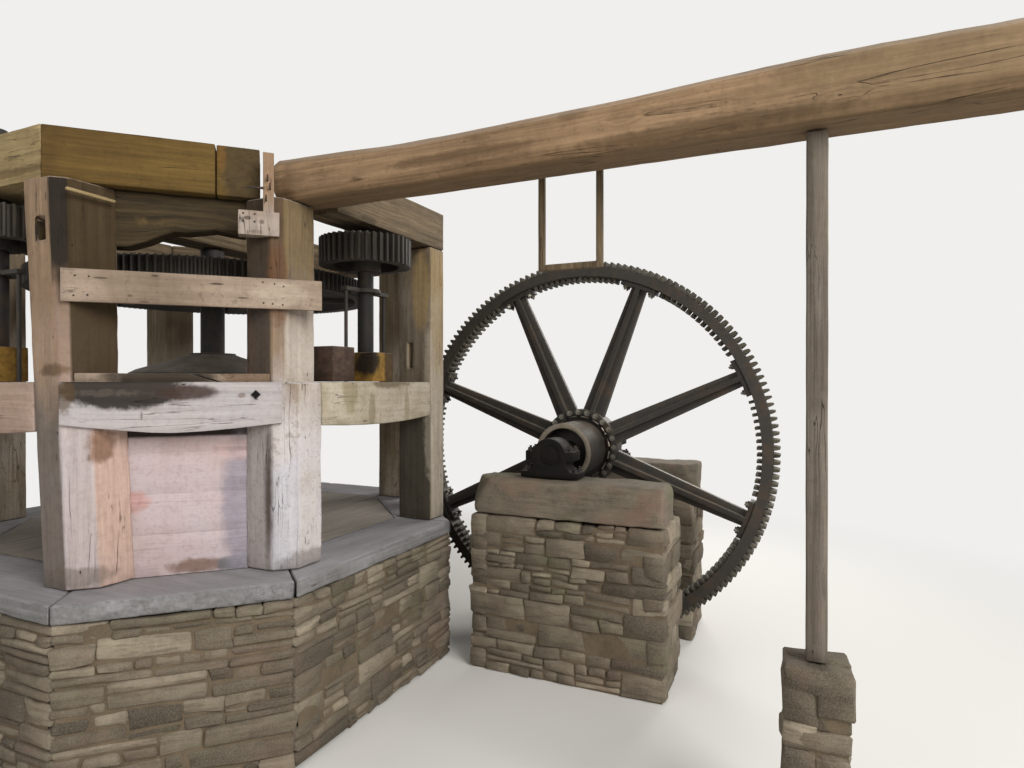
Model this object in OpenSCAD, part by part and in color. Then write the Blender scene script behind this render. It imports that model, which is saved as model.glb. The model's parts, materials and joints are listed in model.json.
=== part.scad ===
// Hurst frame of a watermill with its upright shaft, two stone spindles and the great pit wheel.
// The origin lies on the ground under the upright shaft, X runs along the great beam, Z is up.

/* [Levels] */
// Height of the mill floor above the bottom of the wheel pit
floor_z = 1100; // [1050:10:1300]
// Height of the sill timbers and of the deck above the mill floor
sill_h = 120; // [90:5:160]
// Top of the posts above the mill floor
post_top = 2650; // [2620:10:2800]
// Top of the bridge beams above the mill floor
bridge_top = 1400; // [1340:10:1450]

/* [Octagonal frame] */
// Distance from the middle to the posts' centres, square to a wide bay
post_off = 1772; // [1750:1:1800]
// Distance between the centres of the two posts of a wide bay
wide_bay = 1822; // [1790:2:1850]
// Side of a square post
post_w = 360; // [330:5:380]
// Leg of the chamfer on each post's outer corner
post_chamfer = 130; // [90:5:140]
// How far the front posts' right faces are set back above the bridge beams
upper_set = 65; // [30:5:80]
// Height of the bridge beams at their ends
bridge_h = 300; // [260:5:330]
// Camber that hangs below a bridge beam at its middle
bridge_camber = 45; // [20:5:60]
// Depth of the bridge beams from their outer face inwards
bridge_d = 300; // [260:5:330]
// Thickness of the lip of the front bridge beam over the posts' chamfers
bridge_lip = 28; // [15:1:40]
// How far that lip passes the centre of the left post
lip_past = 70; // [40:5:85]
// How far the lip stops short of the centre of the right post
lip_short = 20; // [0:5:50]
// How far the rear corner beams are set back from the posts' chamfers, clear of the wheel
rear_set = 45; // [40:5:80]
// Height of the head beams and of the great beam
head_h = 340; // [300:10:380]
// Depth of the head beams from their outer face inwards
head_d = 330; // [300:5:345]
// How far the front head beam is set back from the posts' chamfers
head_set = 105; // [80:5:120]
// Gap between timbers or stones that meet
joint_gap = 0.2; // [0.1:0.1:1]

/* [Front bay] */
// Height of the nailed rail's lower edge above the mill floor
rail_z = 1885; // [1850:5:1950]
// Height of the rail board
rail_h = 205; // [170:5:220]
// Thickness of the rail board
rail_t = 40; // [30:1:50]
// How far the rail runs past the centre of the left post
rail_left = 60; // [30:5:80]
// How far the rail runs past the centre of the right post
rail_past = 240; // [200:5:280]
// Thickness of the planks that lie on the front bridge beam
plank_t = 60; // [40:2:70]
// Height of a board of the recessed panel
board_h = 270; // [200:5:300]
// Joint between two boards
board_gap = 4; // [2:1:8]
// Thickness of the panel's boards
panel_t = 30; // [22:1:40]
// Depth of the crooked timber under the front head beam at its left end
crook_deep = 370; // [320:10:390]
// Depth of the crooked timber at its right end
crook_thin = 220; // [180:5:250]
// Thickness of the crooked timber
crook_t = 180; // [140:5:200]
// How far the crooked timber is set back from the front head beam
crook_set = 25; // [10:1:40]
// Where the front head beam stops, right of the front bay's middle
head_end = 450; // [420:5:500]
// Left end of the corbel block, right of the front bay's middle
corbel_x = 316; // [290:2:340]
// Width of the corbel block on the right post
corbel_w = 260; // [235:5:280]
// Height of the corbel block
corbel_h = 165; // [130:5:200]
// How far its top lies below the head beams
corbel_drop = 115; // [80:5:140]
// Left edge of the batten that stands on the corbel block, right of the front bay's middle
strip_x = 470; // [460:2:480]
// Width of that batten
strip_w = 72; // [60:2:90]
// How far the batten rises above the underside of the head beams
strip_up = 280; // [240:5:320]
// How far the corbel block stands out from the post's chamfer
corbel_out = 30; // [15:1:40]

// Left of the post's centre, height above the mill floor and size of the old mortise in the front left post
mortise = [70, 60, 130];
mortise_z = 2270; // [2200:10:2400]
// Place and size of the slot in the right rear post
slot_off = 75; // [40:5:100]
slot_z = 1530; // [1450:10:1600]
slot = [45, 60, 230];

/* [Masonry] */
// Width of the kerb outside the posts of a wide bay
kerb_wide = 168; // [120:2:200]
// Width of the kerb outside the chamfers of a corner bay
kerb_corner = 270; // [200:5:300]
// Width of the kerb on the bay beside the pit wheel
kerb_wheel = 10; // [4:1:20]
// How far the sills run inside the posts
sill_ledge = 40; // [20:5:60]
// How far the footing runs inside the sills
footing_ledge = 100; // [80:5:140]
// Side of the pier under the upright shaft
pier_w = 700; // [600:10:800]
// Height of that pier above the mill floor
pier_h = 450; // [400:10:600]

/* [Deck] */
// Thickness of the deck boards
deck_t = 40; // [30:1:50]
// Width of a deck joist
joist_w = 120; // [90:5:150]
// Gap between the deck and the shaft pier
deck_gap = 30; // [10:5:60]

/* [Great beam] */
// Width of the great beam
beam_w = 400; // [360:5:410]
// Distance of the great beam's middle line before the upright shaft
beam_off = 765; // [750:5:780]
// Where the great beam starts, from the centre
beam_x0 = 1700; // [1690:5:1740]
// Where the great beam ends, from the centre
beam_x1 = 6170; // [5800:10:6600]
// Wane on the great beam's corners
beam_wane = 60; // [30:5:80]
// Side of the slender prop
prop_w = 105; // [90:1:130]
// Distance of the prop from the centre
prop_x = 5140; // [5000:10:5400]
// Side of the pier under the prop
prop_pier_w = 320; // [260:10:400]
// Where the hanging cradle starts, from the centre
cradle_x = 3545; // [3400:5:3700]
// Width of the cradle
cradle_w = 420; // [350:5:460]
// How far the cradle hangs below the great beam
cradle_drop = 550; // [450:5:600]
// Width of a cradle batten
batten_w = 40; // [30:1:50]

/* [Upright shaft] */
// Radius of the upright shaft
shaft_r = 105; // [95:1:120]
// Width of the cross beam that holds the shaft's top
cross_w = 300; // [240:5:340]
// How much lower that beam is than the head beams
cross_low = 60; // [0:5:100]
// Radius of its top journal
journal_r = 70; // [60:1:80]
// Gap between the shaft's shoulders and its bearings
shoulder = 20; // [10:1:30]
// Height of the footstep bearing
footstep_h = 160; // [120:5:200]
// Radius of the footstep bearing
footstep_r = 230; // [200:5:280]
// Teeth on the great spur wheel
spur_teeth = 168; // [144:8:176]
// Height of a tooth of the spur wheel and of the nuts above the pitch circle
tooth_out = 19; // [14:1:20]
// Depth of such a tooth below the pitch circle
tooth_in = 23; // [18:1:26]
// Radial thickness of the spur wheel's rim
spur_rim = 90; // [60:5:110]
// Radius of the spur wheel's hub
spur_hub_r = 230; // [200:5:260]
// Height of the great spur wheel's rim
spur_h = 150; // [130:5:180]
// Width of its arms
spur_arm = 130; // [100:5:160]
// Thickness of its arms
spur_web = 40; // [30:5:50]
// Top of the great spur wheel above the mill floor
spur_top = 2330; // [2300:5:2340]
// Outer radius of the crown wheel
crown_r = 800; // [700:10:900]
// Teeth on the crown wheel
crown_teeth = 72; // [60:4:84]
// Depth of a crown tooth
crown_tooth = 40; // [30:1:46]
// Height of the crown wheel's rim
crown_h = 150; // [120:5:180]
// Radial thickness of its rim
crown_rim = 70; // [50:5:90]
// How far its dished web rises above the rim to the hub
crown_rise = 265; // [230:5:290]
// Radius of its hub
crown_hub_r = 200; // [180:5:220]
// Lower edge of the crown wheel above the mill floor
crown_z = 1250; // [1200:5:1280]

/* [Stone spindles] */
// Radius of a stone spindle
spindle_r = 65; // [55:1:75]
// Teeth on a stone nut
nut_teeth = 42; // [36:2:44]
// Radial thickness of a nut's rim
nut_rim = 60; // [45:5:80]
// Radius of a nut's hub
nut_hub_r = 125; // [105:5:150]
// How far a nut's hub stands out below and above its rim
nut_hub_out = 45; // [20:5:60]
// Thickness of a nut's web
nut_web = 60; // [40:5:80]
// Height of a stone nut
nut_h = 220; // [180:5:240]
// Gap between the spur wheel and a nut that is lifted out of gear
nut_lift = 20; // [12:1:25]
// Height of the wooden bearing block under a spindle
block_h = 240; // [180:5:260]
// Side of the bearing block
block_w = 280; // [240:5:300]
// How deep a spindle's foot sits in its block
foot_deep = 60; // [40:5:80]
// Radius of a jack rod
rod_r = 14; // [10:1:18]
// Distance between the two rods of a jack
rod_span = 500; // [440:10:540]
// Top of the jack's yoke above the mill floor
yoke_z = 2160; // [2120:5:2200]
// Thickness of the yoke
yoke_t = 30; // [20:1:40]
// Width of the yoke
yoke_w = 60; // [45:1:75]
// Gap between the yoke and the spindle
yoke_gap = 12; // [8:1:20]
// Free end of a spindle above the head beam, where the stone is seated
seat_l = 150; // [120:5:200]
// Radius of that end
seat_r = 60; // [50:1:62]
// Length of the wooden box beside a bearing block
side_box_l = 260; // [200:5:300]
// Height of that box
side_box_h = 270; // [200:5:300]
// Gap between the box and the bearing block
side_box_gap = 150; // [120:5:170]
// Radial gap of a turning shaft in its bearing
running = 0.05; // [0.02:0.01:0.1]

/* [Pit wheel] */
// Distance of the pit wheel's centre from the upright shaft along the great beam
wheel_x = 3100; // [3100:5:3200]
// Distance of the pit wheel's middle plane behind the upright shaft
wheel_y = 1670; // [1665:5:1720]
// Height of the wheel's centre above the mill floor
wheel_z = 764; // [760:1:800]
// Outer radius over the cogs
wheel_r = 1800; // [1760:5:1810]
// Number of cogs
wheel_cogs = 176; // [160:8:184]
// How far a cog stands out of the rim
cog_out = 55; // [45:1:60]
// Width of a cog along the axis
cog_w = 150; // [120:5:160]
// Thickness of a cog's shank in its mortise
shank_t = 26; // [22:1:30]
// How far the shanks stick out inside the rim, between the arms
shank_out = 45; // [20:1:60]
// Clearance of a shank in its mortise
shank_gap = 0.3; // [0.2:0.1:0.5]
// Radial thickness of the iron rim
rim_t = 90; // [70:5:110]
// Width of the iron rim along the axis
rim_w = 200; // [180:5:210]
// Number of arms
arms = 8; // [6:1:10]
// Angle of the first arm above the great beam's direction
arm_angle = 24.3; // [0:0.1:45]
// Width of an arm at the hub
arm_root = 220; // [180:5:240]
// Width of an arm at the rim
arm_tip = 140; // [110:5:160]
// Thickness of an arm's flat web
arm_t = 50; // [40:1:70]
// Depth of the rib along an arm
rib_d = 170; // [120:5:180]
// Thickness of the rib
rib_t = 44; // [30:1:55]
// Length along the rim of the pad at an arm's end
pad_l = 340; // [280:5:400]
// Thickness of that pad
pad_t = 45; // [30:1:60]
// Radius of the hub's bolted plates
hub_r = 370; // [350:5:390]
// Thickness of the hub
hub_t = 120; // [90:5:150]
// Height of the collar on the shaft inside the hub
collar = 40; // [25:1:60]
// Height of the raised ring on a hub plate
hub_ring_h = 30; // [15:1:40]
// Width of that ring
hub_ring_w = 55; // [40:1:65]
// Radius of the drum on the wheel's shaft
drum_r = 260; // [230:5:280]
// Wall of the drum round its hollow end
drum_wall = 45; // [30:1:60]
// Depth of the hollow in the drum's end
drum_hollow = 170; // [100:5:220]
// How far the drum stands before the wheel's middle plane
drum_out = 540; // [480:5:560]
// How far the shaft's front end stands before the wheel's middle plane
shaft_out = 900; // [860:5:940]
// Free end of the shaft behind the rear bearing, for the water wheel
drive_end = 300; // [200:10:400]
// Radius of the shaft in its bearings
gudgeon_r = 85; // [75:1:95]
// Radius of its free end
drive_r = 80; // [60:1:82]
// Length of a bearing along the shaft
bearing_l = 200; // [160:5:230]
// Width of a bearing's foot across the shaft
bearing_w = 520; // [460:10:600]
// Thickness of that foot
foot_t = 50; // [35:1:60]
// Width of a bearing's body across the shaft
body_w = 300; // [270:5:330]
// Width over the bolted ears of a bearing's cap
ear_w = 430; // [400:5:460]
// Thickness of an ear
ear_t = 40; // [30:1:50]

/* [Plinths] */
// Height of the bearing stones' top above the mill floor
stone_top = 577; // [560:1:590]
// Height of a bearing stone
stone_h = 337; // [300:5:360]
// Width of a bearing stone along the great beam
stone_w = 1700; // [1500:10:1800]
// Depth of a bearing stone along the wheel's shaft
stone_d = 470; // [400:5:480]
// Distance of a bearing stone's inner face from the wheel's middle plane
stone_off = 570; // [560:5:600]
// How far the stones' middle lies beyond the wheel's centre, away from the frame
stone_shift = 160; // [100:5:200]
// How far the rubble below runs towards the wheel
rubble_in = 250; // [150:10:280]

/* [Hidden] */
$fn = 64;
eps = 1;
turn = 360 / 8;
half_post = post_w / 2;
half_wide = wide_bay / 2;
// Planes through the posts' centres in a corner bay, and half the distance between them there
corner_mid = (post_off + half_wide) / sqrt(2);
corner_half = (post_off - half_wide) / sqrt(2);
// Outer planes of the posts, on the wide bays and on the corner bays
square_out = post_off + half_post;
corner_out = corner_mid + (post_w - post_chamfer) / sqrt(2);
// Half the opening between two posts, where they are closest
wide_open = half_wide - half_post;
corner_open = corner_half - half_post * sqrt(2);
// Bays are counted from the right bay, which faces +X, towards the rear; even ones are wide
right_bay = 0;
wheel_bay = 1;
left_bay = 6;
front_bay = 7;
square_bays = [0, 2, 4, 6];
corner_bays = [1, 3, 5, 7];
head_z0 = floor_z + post_top;
head_z1 = head_z0 + head_h;
bridge_z1 = floor_z + bridge_top;
bridge_z0 = bridge_z1 - bridge_h;
sill_z1 = floor_z + sill_h;
beam_y = -beam_off;
spur_z1 = floor_z + spur_top;
nut_z0 = spur_z1 + nut_lift;
// Pitch circles follow from the distance between the shafts and the numbers of teeth
spur_pitch = post_off * spur_teeth / (spur_teeth + nut_teeth);
nut_pitch = post_off - spur_pitch;
wheel_zc = floor_z + wheel_z;
stone_z1 = floor_z + stone_top;
stone_z0 = stone_z1 - stone_h;
rim_r = wheel_r - cog_out;
rim_in = rim_r - rim_t;
cog_pitch = 2 * PI * rim_r / wheel_cogs;
// Shanks over the pads of the arms end this far short of the rim's inside
shank_short = 5;
iron = "dimgray";
timber = "burlywood";
rubble = "rosybrown";

function wide(i) = i % 2 == 0;
function bay_out(i) = wide(i) ? square_out : corner_out;
function post_in(i) = wide(i) ? post_off - half_post : corner_mid - half_post * sqrt(2);
function kerb(i) = i == wheel_bay ? kerb_wheel : wide(i) ? kerb_wide : kerb_corner;

// Distances of the eight faces of each octagonal ring from the centre
head_outs = [for (i = [0 : 7]) bay_out(i) - (i == front_bay ? head_set : 0)];
head_ins = [for (i = [0 : 7]) head_outs[i] - head_d];
kerb_outs = [for (i = [0 : 7]) bay_out(i) + kerb(i)];
sill_ins = [for (i = [0 : 7]) post_in(i) - sill_ledge];
footing_ins = [for (i = [0 : 7]) post_in(i) - sill_ledge - footing_ledge];

// Centre of post j, counted like the bays from the one at the rear end of the right bay
function post_at(j) =
    let (q = 90 * floor(j / 2), x = wide(j) ? post_off : half_wide, y = wide(j) ? half_wide : post_off)
    [x * cos(q) - y * sin(q), x * sin(q) + y * cos(q)];

// Plan of a square post whose outermost corner is chamfered
function post_plan(c) =
    let (sx = sign(c[0]), sy = sign(c[1]), far = half_post, cut = half_post - post_chamfer)
    [
        [c[0] - sx * far, c[1] - sy * far], [c[0] + sx * far, c[1] - sy * far],
        [c[0] + sx * far, c[1] + sy * cut], [c[0] + sx * cut, c[1] + sy * far],
        [c[0] - sx * far, c[1] + sy * far]
    ];

// Outline of a toothed wheel: each tooth has a root, a rounded flank and a narrower tip
function tooth_ring(teeth, tip, deep) = [
    for (
        i = [0 : teeth - 1],
        p = [[-0.29, tip - deep], [-0.24, tip - deep * 0.45], [-0.13, tip],
            [0.13, tip], [0.24, tip - deep * 0.45], [0.29, tip - deep]]
    )
        p[1] * [cos(360 * (i + p[0]) / teeth), sin(360 * (i + p[0]) / teeth)]
];

// Where the face at distance d of a bay meets the face at distance beside of the next bay
function mitre(d, beside) = beside * sqrt(2) - d - joint_gap;

// One side of an octagonal ring, mitred at both ends
module ring_side(i, ins, outs, z0, z1) {
    left = (i + 7) % 8;
    right = (i + 1) % 8;
    in_bay(i)
        translate([0, 0, z0])
            linear_extrude(z1 - z0)
                polygon([
                    [ins[i], -mitre(ins[i], ins[left])], [outs[i], -mitre(outs[i], outs[left])],
                    [outs[i], mitre(outs[i], outs[right])], [ins[i], mitre(ins[i], ins[right])]
                ]);
}

// Puts its children, drawn for a bay that faces +X, in bay i
module in_bay(i) {
    rotate([0, 0, turn * i]) children();
}

module post(j) {
    z0 = sill_z1 + joint_gap;
    translate([0, 0, z0])
        linear_extrude(head_z0 - z0)
            polygon(post_plan(post_at(j)));
}

// Cuts a front post's right face back above the bridge beams
module upper_cut(j) {
    c = post_at(j);
    translate([c[0] + half_post - upper_set, c[1] - post_w, bridge_z1])
        cube([post_w, 2 * post_w, post_top]);
}

module footing_square_walls() {
    color(rubble)
        for (i = square_bays) ring_side(i, footing_ins, kerb_outs, 0, floor_z);
}

module footing_corner_walls() {
    color(rubble)
        for (i = corner_bays) ring_side(i, footing_ins, kerb_outs, 0, floor_z);
}

module stone_piers() {
    color(rubble) {
        translate([-pier_w / 2, -pier_w / 2, 0]) cube([pier_w, pier_w, floor_z + pier_h]);
        translate([prop_x - prop_pier_w / 2, beam_y - prop_pier_w / 2, 0])
            cube([prop_pier_w, prop_pier_w, floor_z]);
    }
}

module sills_square() {
    color(timber)
        for (i = square_bays) ring_side(i, sill_ins, kerb_outs, floor_z, sill_z1);
}

module sills_corner() {
    color(timber)
        for (i = corner_bays) ring_side(i, sill_ins, kerb_outs, floor_z, sill_z1);
}

// Boards on joists that lie on the footing's inner ledge
module inner_deck() {
    hole = pier_w + 2 * deck_gap;
    side = sill_ins[0] - joint_gap;
    corner = sill_ins[1] - joint_gap;
    half = corner * sqrt(2) - side;
    joist_end = footing_ins[0] + footing_ledge / 2;
    joist_y = (half + hole / 2) / 2;
    color("tan")
        difference() {
            union() {
                translate([0, 0, sill_z1 - deck_t])
                    linear_extrude(deck_t)
                        polygon([
                            [side, -half], [side, half], [half, side], [-half, side],
                            [-side, half], [-side, -half], [-half, -side], [half, -side]
                        ]);
                for (y = [-1, 1])
                    translate([-joist_end, y * joist_y - joist_w / 2, floor_z])
                        cube([2 * joist_end, joist_w, sill_h - deck_t]);
            }
            translate([-hole / 2, -hole / 2, floor_z - eps]) cube([hole, hole, sill_h + 2 * eps]);
        }
}

// The post keeps an empty mortise where a brace once sat
module front_left_post() {
    c = post_at(6);
    color(timber)
        difference() {
            post(6);
            upper_cut(6);
            translate([c[0] - mortise[0], c[1] - half_post - eps, floor_z + mortise_z]) cube(mortise);
        }
}

module front_right_post() {
    color(timber)
        difference() {
            post(7);
            upper_cut(7);
        }
}

// The post has a narrow slot in the cheek that faces the right bay
module right_rear_post() {
    c = post_at(0);
    color(timber)
        difference() {
            post(0);
            translate([c[0] - slot_off, c[1] - half_post - eps, floor_z + slot_z]) cube(slot);
        }
}

module rear_posts() {
    color(timber)
        for (j = [1 : 5]) post(j);
}

// Plan of a piece that fits between the two posts of bay i, from one plane to another
function bay_plan(i, inner, outer) =
    wide(i) ?
        let (half = wide_open - joint_gap)
        [[inner, -half], [outer, -half], [outer, half], [inner, half]]
    :
        let (half = corner_open - joint_gap * sqrt(2), grow = outer - corner_mid, back = corner_mid - inner)
        [
            [inner, -half - back], [corner_mid, -half], [outer, -half - grow],
            [outer, half + grow], [corner_mid, half], [inner, half + back]
        ];

// The same for the front bay above its bridge beam, where the left post's face is set back
function upper_plan(inner, outer) =
    let (
        half = corner_open - joint_gap * sqrt(2), grow = outer - corner_mid, back = corner_mid - inner,
        set = upper_set / sqrt(2)
    )
    [
        [inner, -half - back], [corner_mid - set, -half - set], [outer, -half - 2 * set - grow],
        [outer, half + grow], [corner_mid, half], [inner, half + back]
    ];

// Side view of a beam whose underside hangs down in the middle
function camber_side(x0, x1) = [
    [x1, bridge_z1], [x0, bridge_z1],
    for (k = [0 : 8]) [x0 + (x1 - x0) * k / 8, bridge_z0 - bridge_camber * sin(180 * k / 8)]
];

// Upright slab drawn in side view, with its thickness towards +X
module side_slab(x, thick, side) {
    translate([x, 0, 0])
        rotate([90, 0, 90])
            linear_extrude(thick) polygon(side);
}

module bridge_beam(i, out) {
    half = wide(i) ? half_wide : corner_half;
    color("antiquewhite")
        in_bay(i)
            intersection() {
                linear_extrude(head_z0) polygon(bay_plan(i, out - bridge_d, out));
                side_slab(out - bridge_d - eps, bridge_d + 2 * eps, camber_side(-half, half));
            }
}

// The front beam also has a lip that runs over the chamfers of both posts
module front_bridge_beam() {
    seat = corner_out + joint_gap;
    bridge_beam(front_bay, seat);
    color("antiquewhite")
        in_bay(front_bay)
            side_slab(seat, bridge_lip, camber_side(-corner_half - lip_past, corner_half - lip_short));
}

module right_bridge_beam() {
    bridge_beam(right_bay, square_out);
}

module left_bridge_beam() {
    bridge_beam(left_bay, square_out);
}

module rear_bridge_beams() {
    for (i = [1 : 5]) bridge_beam(i, wide(i) ? square_out : corner_out - rear_set);
}

module head_side(i) {
    ring_side(i, head_ins, head_outs, head_z0, head_z1);
}

module spindle_bore(i, z0, z1) {
    in_bay(i)
        translate([post_off, 0, z0]) cylinder(h = z1 - z0, r = spindle_r + running);
}

// Stops square, beside the end of the great beam
module front_head_beam() {
    color("goldenrod")
        difference() {
            head_side(front_bay);
            in_bay(front_bay)
                translate([0, head_end, head_z0 - eps]) cube([2 * corner_out, corner_out, head_h + 2 * eps]);
        }
}

// Butts against the rear face of the great beam
module right_head_beam() {
    color(timber)
        difference() {
            head_side(right_bay);
            translate([0, beam_y + beam_w / 2 + joint_gap - 2 * square_out, head_z0 - eps])
                cube([2 * square_out, 2 * square_out, head_h + 2 * eps]);
            spindle_bore(right_bay, head_z0 - eps, head_z1 + eps);
        }
}

module left_head_beam() {
    color(timber)
        difference() {
            head_side(left_bay);
            spindle_bore(left_bay, head_z0 - eps, head_z1 + eps);
        }
}

module rear_head_beams() {
    color(timber)
        for (i = [1 : 5]) head_side(i);
}

// Rough curved timber that fills the space under the front head beam
module crooked_timber() {
    inner = corner_out - head_set - crook_set - crook_t;
    top = head_z0 - joint_gap;
    color("tan")
        in_bay(front_bay)
            intersection() {
                linear_extrude(head_z1) polygon(upper_plan(inner, inner + crook_t));
                side_slab(inner - eps, crook_t + 2 * eps, [
                    [-corner_half, head_z0 - crook_deep], [-corner_open, head_z0 - crook_deep],
                    [0, head_z0 - (crook_deep + crook_thin) / 2], [corner_open, head_z0 - crook_thin],
                    [corner_half, head_z0 - crook_thin], [corner_half, top], [-corner_half, top]
                ]);
            }
}

// Block nailed to the post's chamfer and cheek, with a batten that hides the gap between the beams
module corbel_block() {
    open = corner_open - joint_gap * sqrt(2);
    reach = corner_out - corner_mid + joint_gap;
    back = (corner_out - corner_mid) / 2;
    z1 = head_z0 - corbel_drop;
    color("linen")
        in_bay(front_bay) {
            translate([corner_mid + reach, strip_x, z1 - eps])
                cube([corbel_out, strip_w, corbel_drop + strip_up + eps]);
            translate([0, 0, z1 - corbel_h])
                linear_extrude(corbel_h)
                    polygon([
                        [corner_mid + back, corbel_x], [corner_mid + reach + corbel_out, corbel_x],
                        [corner_mid + reach + corbel_out, corbel_x + corbel_w],
                        [corner_mid + reach, corbel_x + corbel_w],
                        [corner_mid + reach, open + reach], [corner_mid + back, open + back]
                    ]);
        }
}

module front_boards() {
    rail_x0 = -corner_half - rail_left;
    color("linen")
        in_bay(front_bay) {
            translate([corner_out + joint_gap, rail_x0, floor_z + rail_z])
                cube([rail_t, corner_half + rail_past - rail_x0, rail_h]);
            translate([0, 0, bridge_z1])
                linear_extrude(plank_t) polygon(upper_plan(corner_mid - rail_t, corner_out));
        }
}

// Boards in the plane between the posts' inner corners
module front_panel() {
    top = bridge_z0 - bridge_camber - joint_gap;
    half_w = corner_open - joint_gap * sqrt(2);
    color("mistyrose")
        in_bay(front_bay)
            for (z = [sill_z1 + joint_gap : board_h : top - board_gap])
                translate([corner_mid - panel_t, -half_w, z])
                    cube([panel_t, 2 * half_w, min(board_h - board_gap, top - z)]);
}

module great_beam() {
    side = [
        [beam_wane, 0], [beam_w - beam_wane, 0], [beam_w, beam_wane], [beam_w, head_h - beam_wane],
        [beam_w - beam_wane, head_h], [beam_wane, head_h], [0, head_h - beam_wane], [0, beam_wane]
    ];
    color("tan")
        translate([beam_x0, beam_y - beam_w / 2, head_z0])
            rotate([90, 0, 90])
                linear_extrude(beam_x1 - beam_x0)
                    polygon(side);
}

module beam_prop() {
    color(timber)
        translate([prop_x - prop_w / 2, beam_y - prop_w / 2, floor_z])
            cube([prop_w, prop_w, post_top]);
}

// Two battens on the great beam's rear face with a bar across their feet
module hanging_cradle() {
    y0 = beam_y + beam_w / 2;
    z0 = head_z0 - cradle_drop;
    z1 = head_z0 + head_h - beam_wane;
    color("wheat")
        union() {
            for (x = [cradle_x, cradle_x + cradle_w - batten_w])
                translate([x, y0, z0]) cube([batten_w, batten_w, z1 - z0]);
            translate([cradle_x, y0, z0]) cube([cradle_w, batten_w, batten_w]);
        }
}

// Cross beam that holds the upright shaft's top journal
module shaft_head_beam() {
    half_l = square_out - head_d - joint_gap;
    color(timber)
        difference() {
            translate([-cross_w / 2, -half_l, head_z0]) cube([cross_w, 2 * half_l, head_h - cross_low]);
            translate([0, 0, head_z0 - eps]) cylinder(h = head_h, r = journal_r + running);
        }
}

// The thick part of the shaft stands between a journal at its foot and one at its head
module upright_shaft() {
    foot = floor_z + pier_h + footstep_h;
    color(iron)
        union() {
            translate([0, 0, foot - footstep_h / 2]) cylinder(h = footstep_h, r = journal_r);
            translate([0, 0, foot + shoulder]) cylinder(h = head_z0 - foot - 2 * shoulder, r = shaft_r);
            translate([0, 0, head_z0 - 2 * shoulder]) cylinder(h = head_h - cross_low, r = journal_r);
        }
}

module shaft_footstep() {
    z0 = floor_z + pier_h;
    color(iron)
        difference() {
            translate([0, 0, z0]) cylinder(h = footstep_h, r = footstep_r);
            translate([0, 0, z0 + footstep_h / 2]) cylinder(h = footstep_h, r = journal_r + running);
        }
}

// Eight flat arms with a rib under each join the hub to the toothed rim
module great_spur_wheel() {
    z0 = spur_z1 - spur_h;
    tip = spur_pitch + tooth_out;
    rim_in_r = tip - tooth_out - tooth_in - spur_rim;
    reach = rim_in_r + spur_rim / 2;
    color(iron)
        difference() {
            union() {
                translate([0, 0, z0])
                    linear_extrude(spur_h)
                        difference() {
                            polygon(tooth_ring(spur_teeth, tip, tooth_out + tooth_in));
                            circle(r = rim_in_r);
                        }
                for (k = [0 : 3])
                    rotate([0, 0, 45 * k]) {
                        translate([-reach, -spur_arm / 2, z0 + (spur_h - spur_web) / 2])
                            cube([2 * reach, spur_arm, spur_web]);
                        translate([-reach, -spur_web / 2, z0 + spur_web / 4])
                            cube([2 * reach, spur_web, spur_h - spur_web / 2]);
                    }
                translate([0, 0, z0 - spur_web]) cylinder(h = spur_h + 2 * spur_web, r = spur_hub_r);
            }
            translate([0, 0, z0 - spur_h]) cylinder(h = 3 * spur_h, r = shaft_r);
        }
}

// Dished wheel at the foot of the shaft, with its teeth round the rim
module crown_wheel() {
    z0 = floor_z + crown_z;
    root = crown_r - crown_tooth;
    rim = root - crown_rim;
    hub_top = crown_h + crown_rise;
    color(iron)
        union() {
            translate([0, 0, z0])
                linear_extrude(crown_h)
                    difference() {
                        polygon(tooth_ring(crown_teeth, crown_r, crown_tooth));
                        circle(r = rim);
                    }
            translate([0, 0, z0])
                rotate_extrude()
                    polygon([
                        [shaft_r, crown_h / 4], [crown_hub_r, crown_h / 4], [rim, 0], [rim, crown_h],
                        [crown_hub_r * 1.15, crown_h + crown_rise / 2], [crown_hub_r, hub_top],
                        [shaft_r, hub_top]
                    ]);
        }
}

// A spindle from its foot in the bearing block to the seat of the stone above the head beam
module spindle(i) {
    z0 = bridge_z1 + block_h - foot_deep;
    color(iron)
        in_bay(i)
            translate([post_off, 0, 0])
                union() {
                    translate([0, 0, z0]) cylinder(h = head_z1 - z0, r = spindle_r);
                    translate([0, 0, head_z1]) cylinder(h = seat_l, r = seat_r);
                }
}

module right_spindle() {
    spindle(right_bay);
}

module left_spindle() {
    spindle(left_bay);
}

// Toothed nut with its hub and web, lifted clear above the great spur wheel
module stone_nut(i) {
    tip = nut_pitch + tooth_out;
    deep = tooth_out + tooth_in;
    color(iron)
        in_bay(i)
            translate([post_off, 0, nut_z0])
                difference() {
                    union() {
                        linear_extrude(nut_h)
                            difference() {
                                polygon(tooth_ring(nut_teeth, tip, deep));
                                circle(r = tip - deep - nut_rim);
                            }
                        translate([0, 0, (nut_h - nut_web) / 2])
                            cylinder(h = nut_web, r = tip - deep - nut_rim / 2);
                        translate([0, 0, -nut_hub_out]) cylinder(h = nut_h + 2 * nut_hub_out, r = nut_hub_r);
                    }
                    translate([0, 0, -nut_h]) cylinder(h = 3 * nut_h, r = spindle_r);
                }
}

module right_stone_nut() {
    stone_nut(right_bay);
}

module left_stone_nut() {
    stone_nut(left_bay);
}

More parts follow.
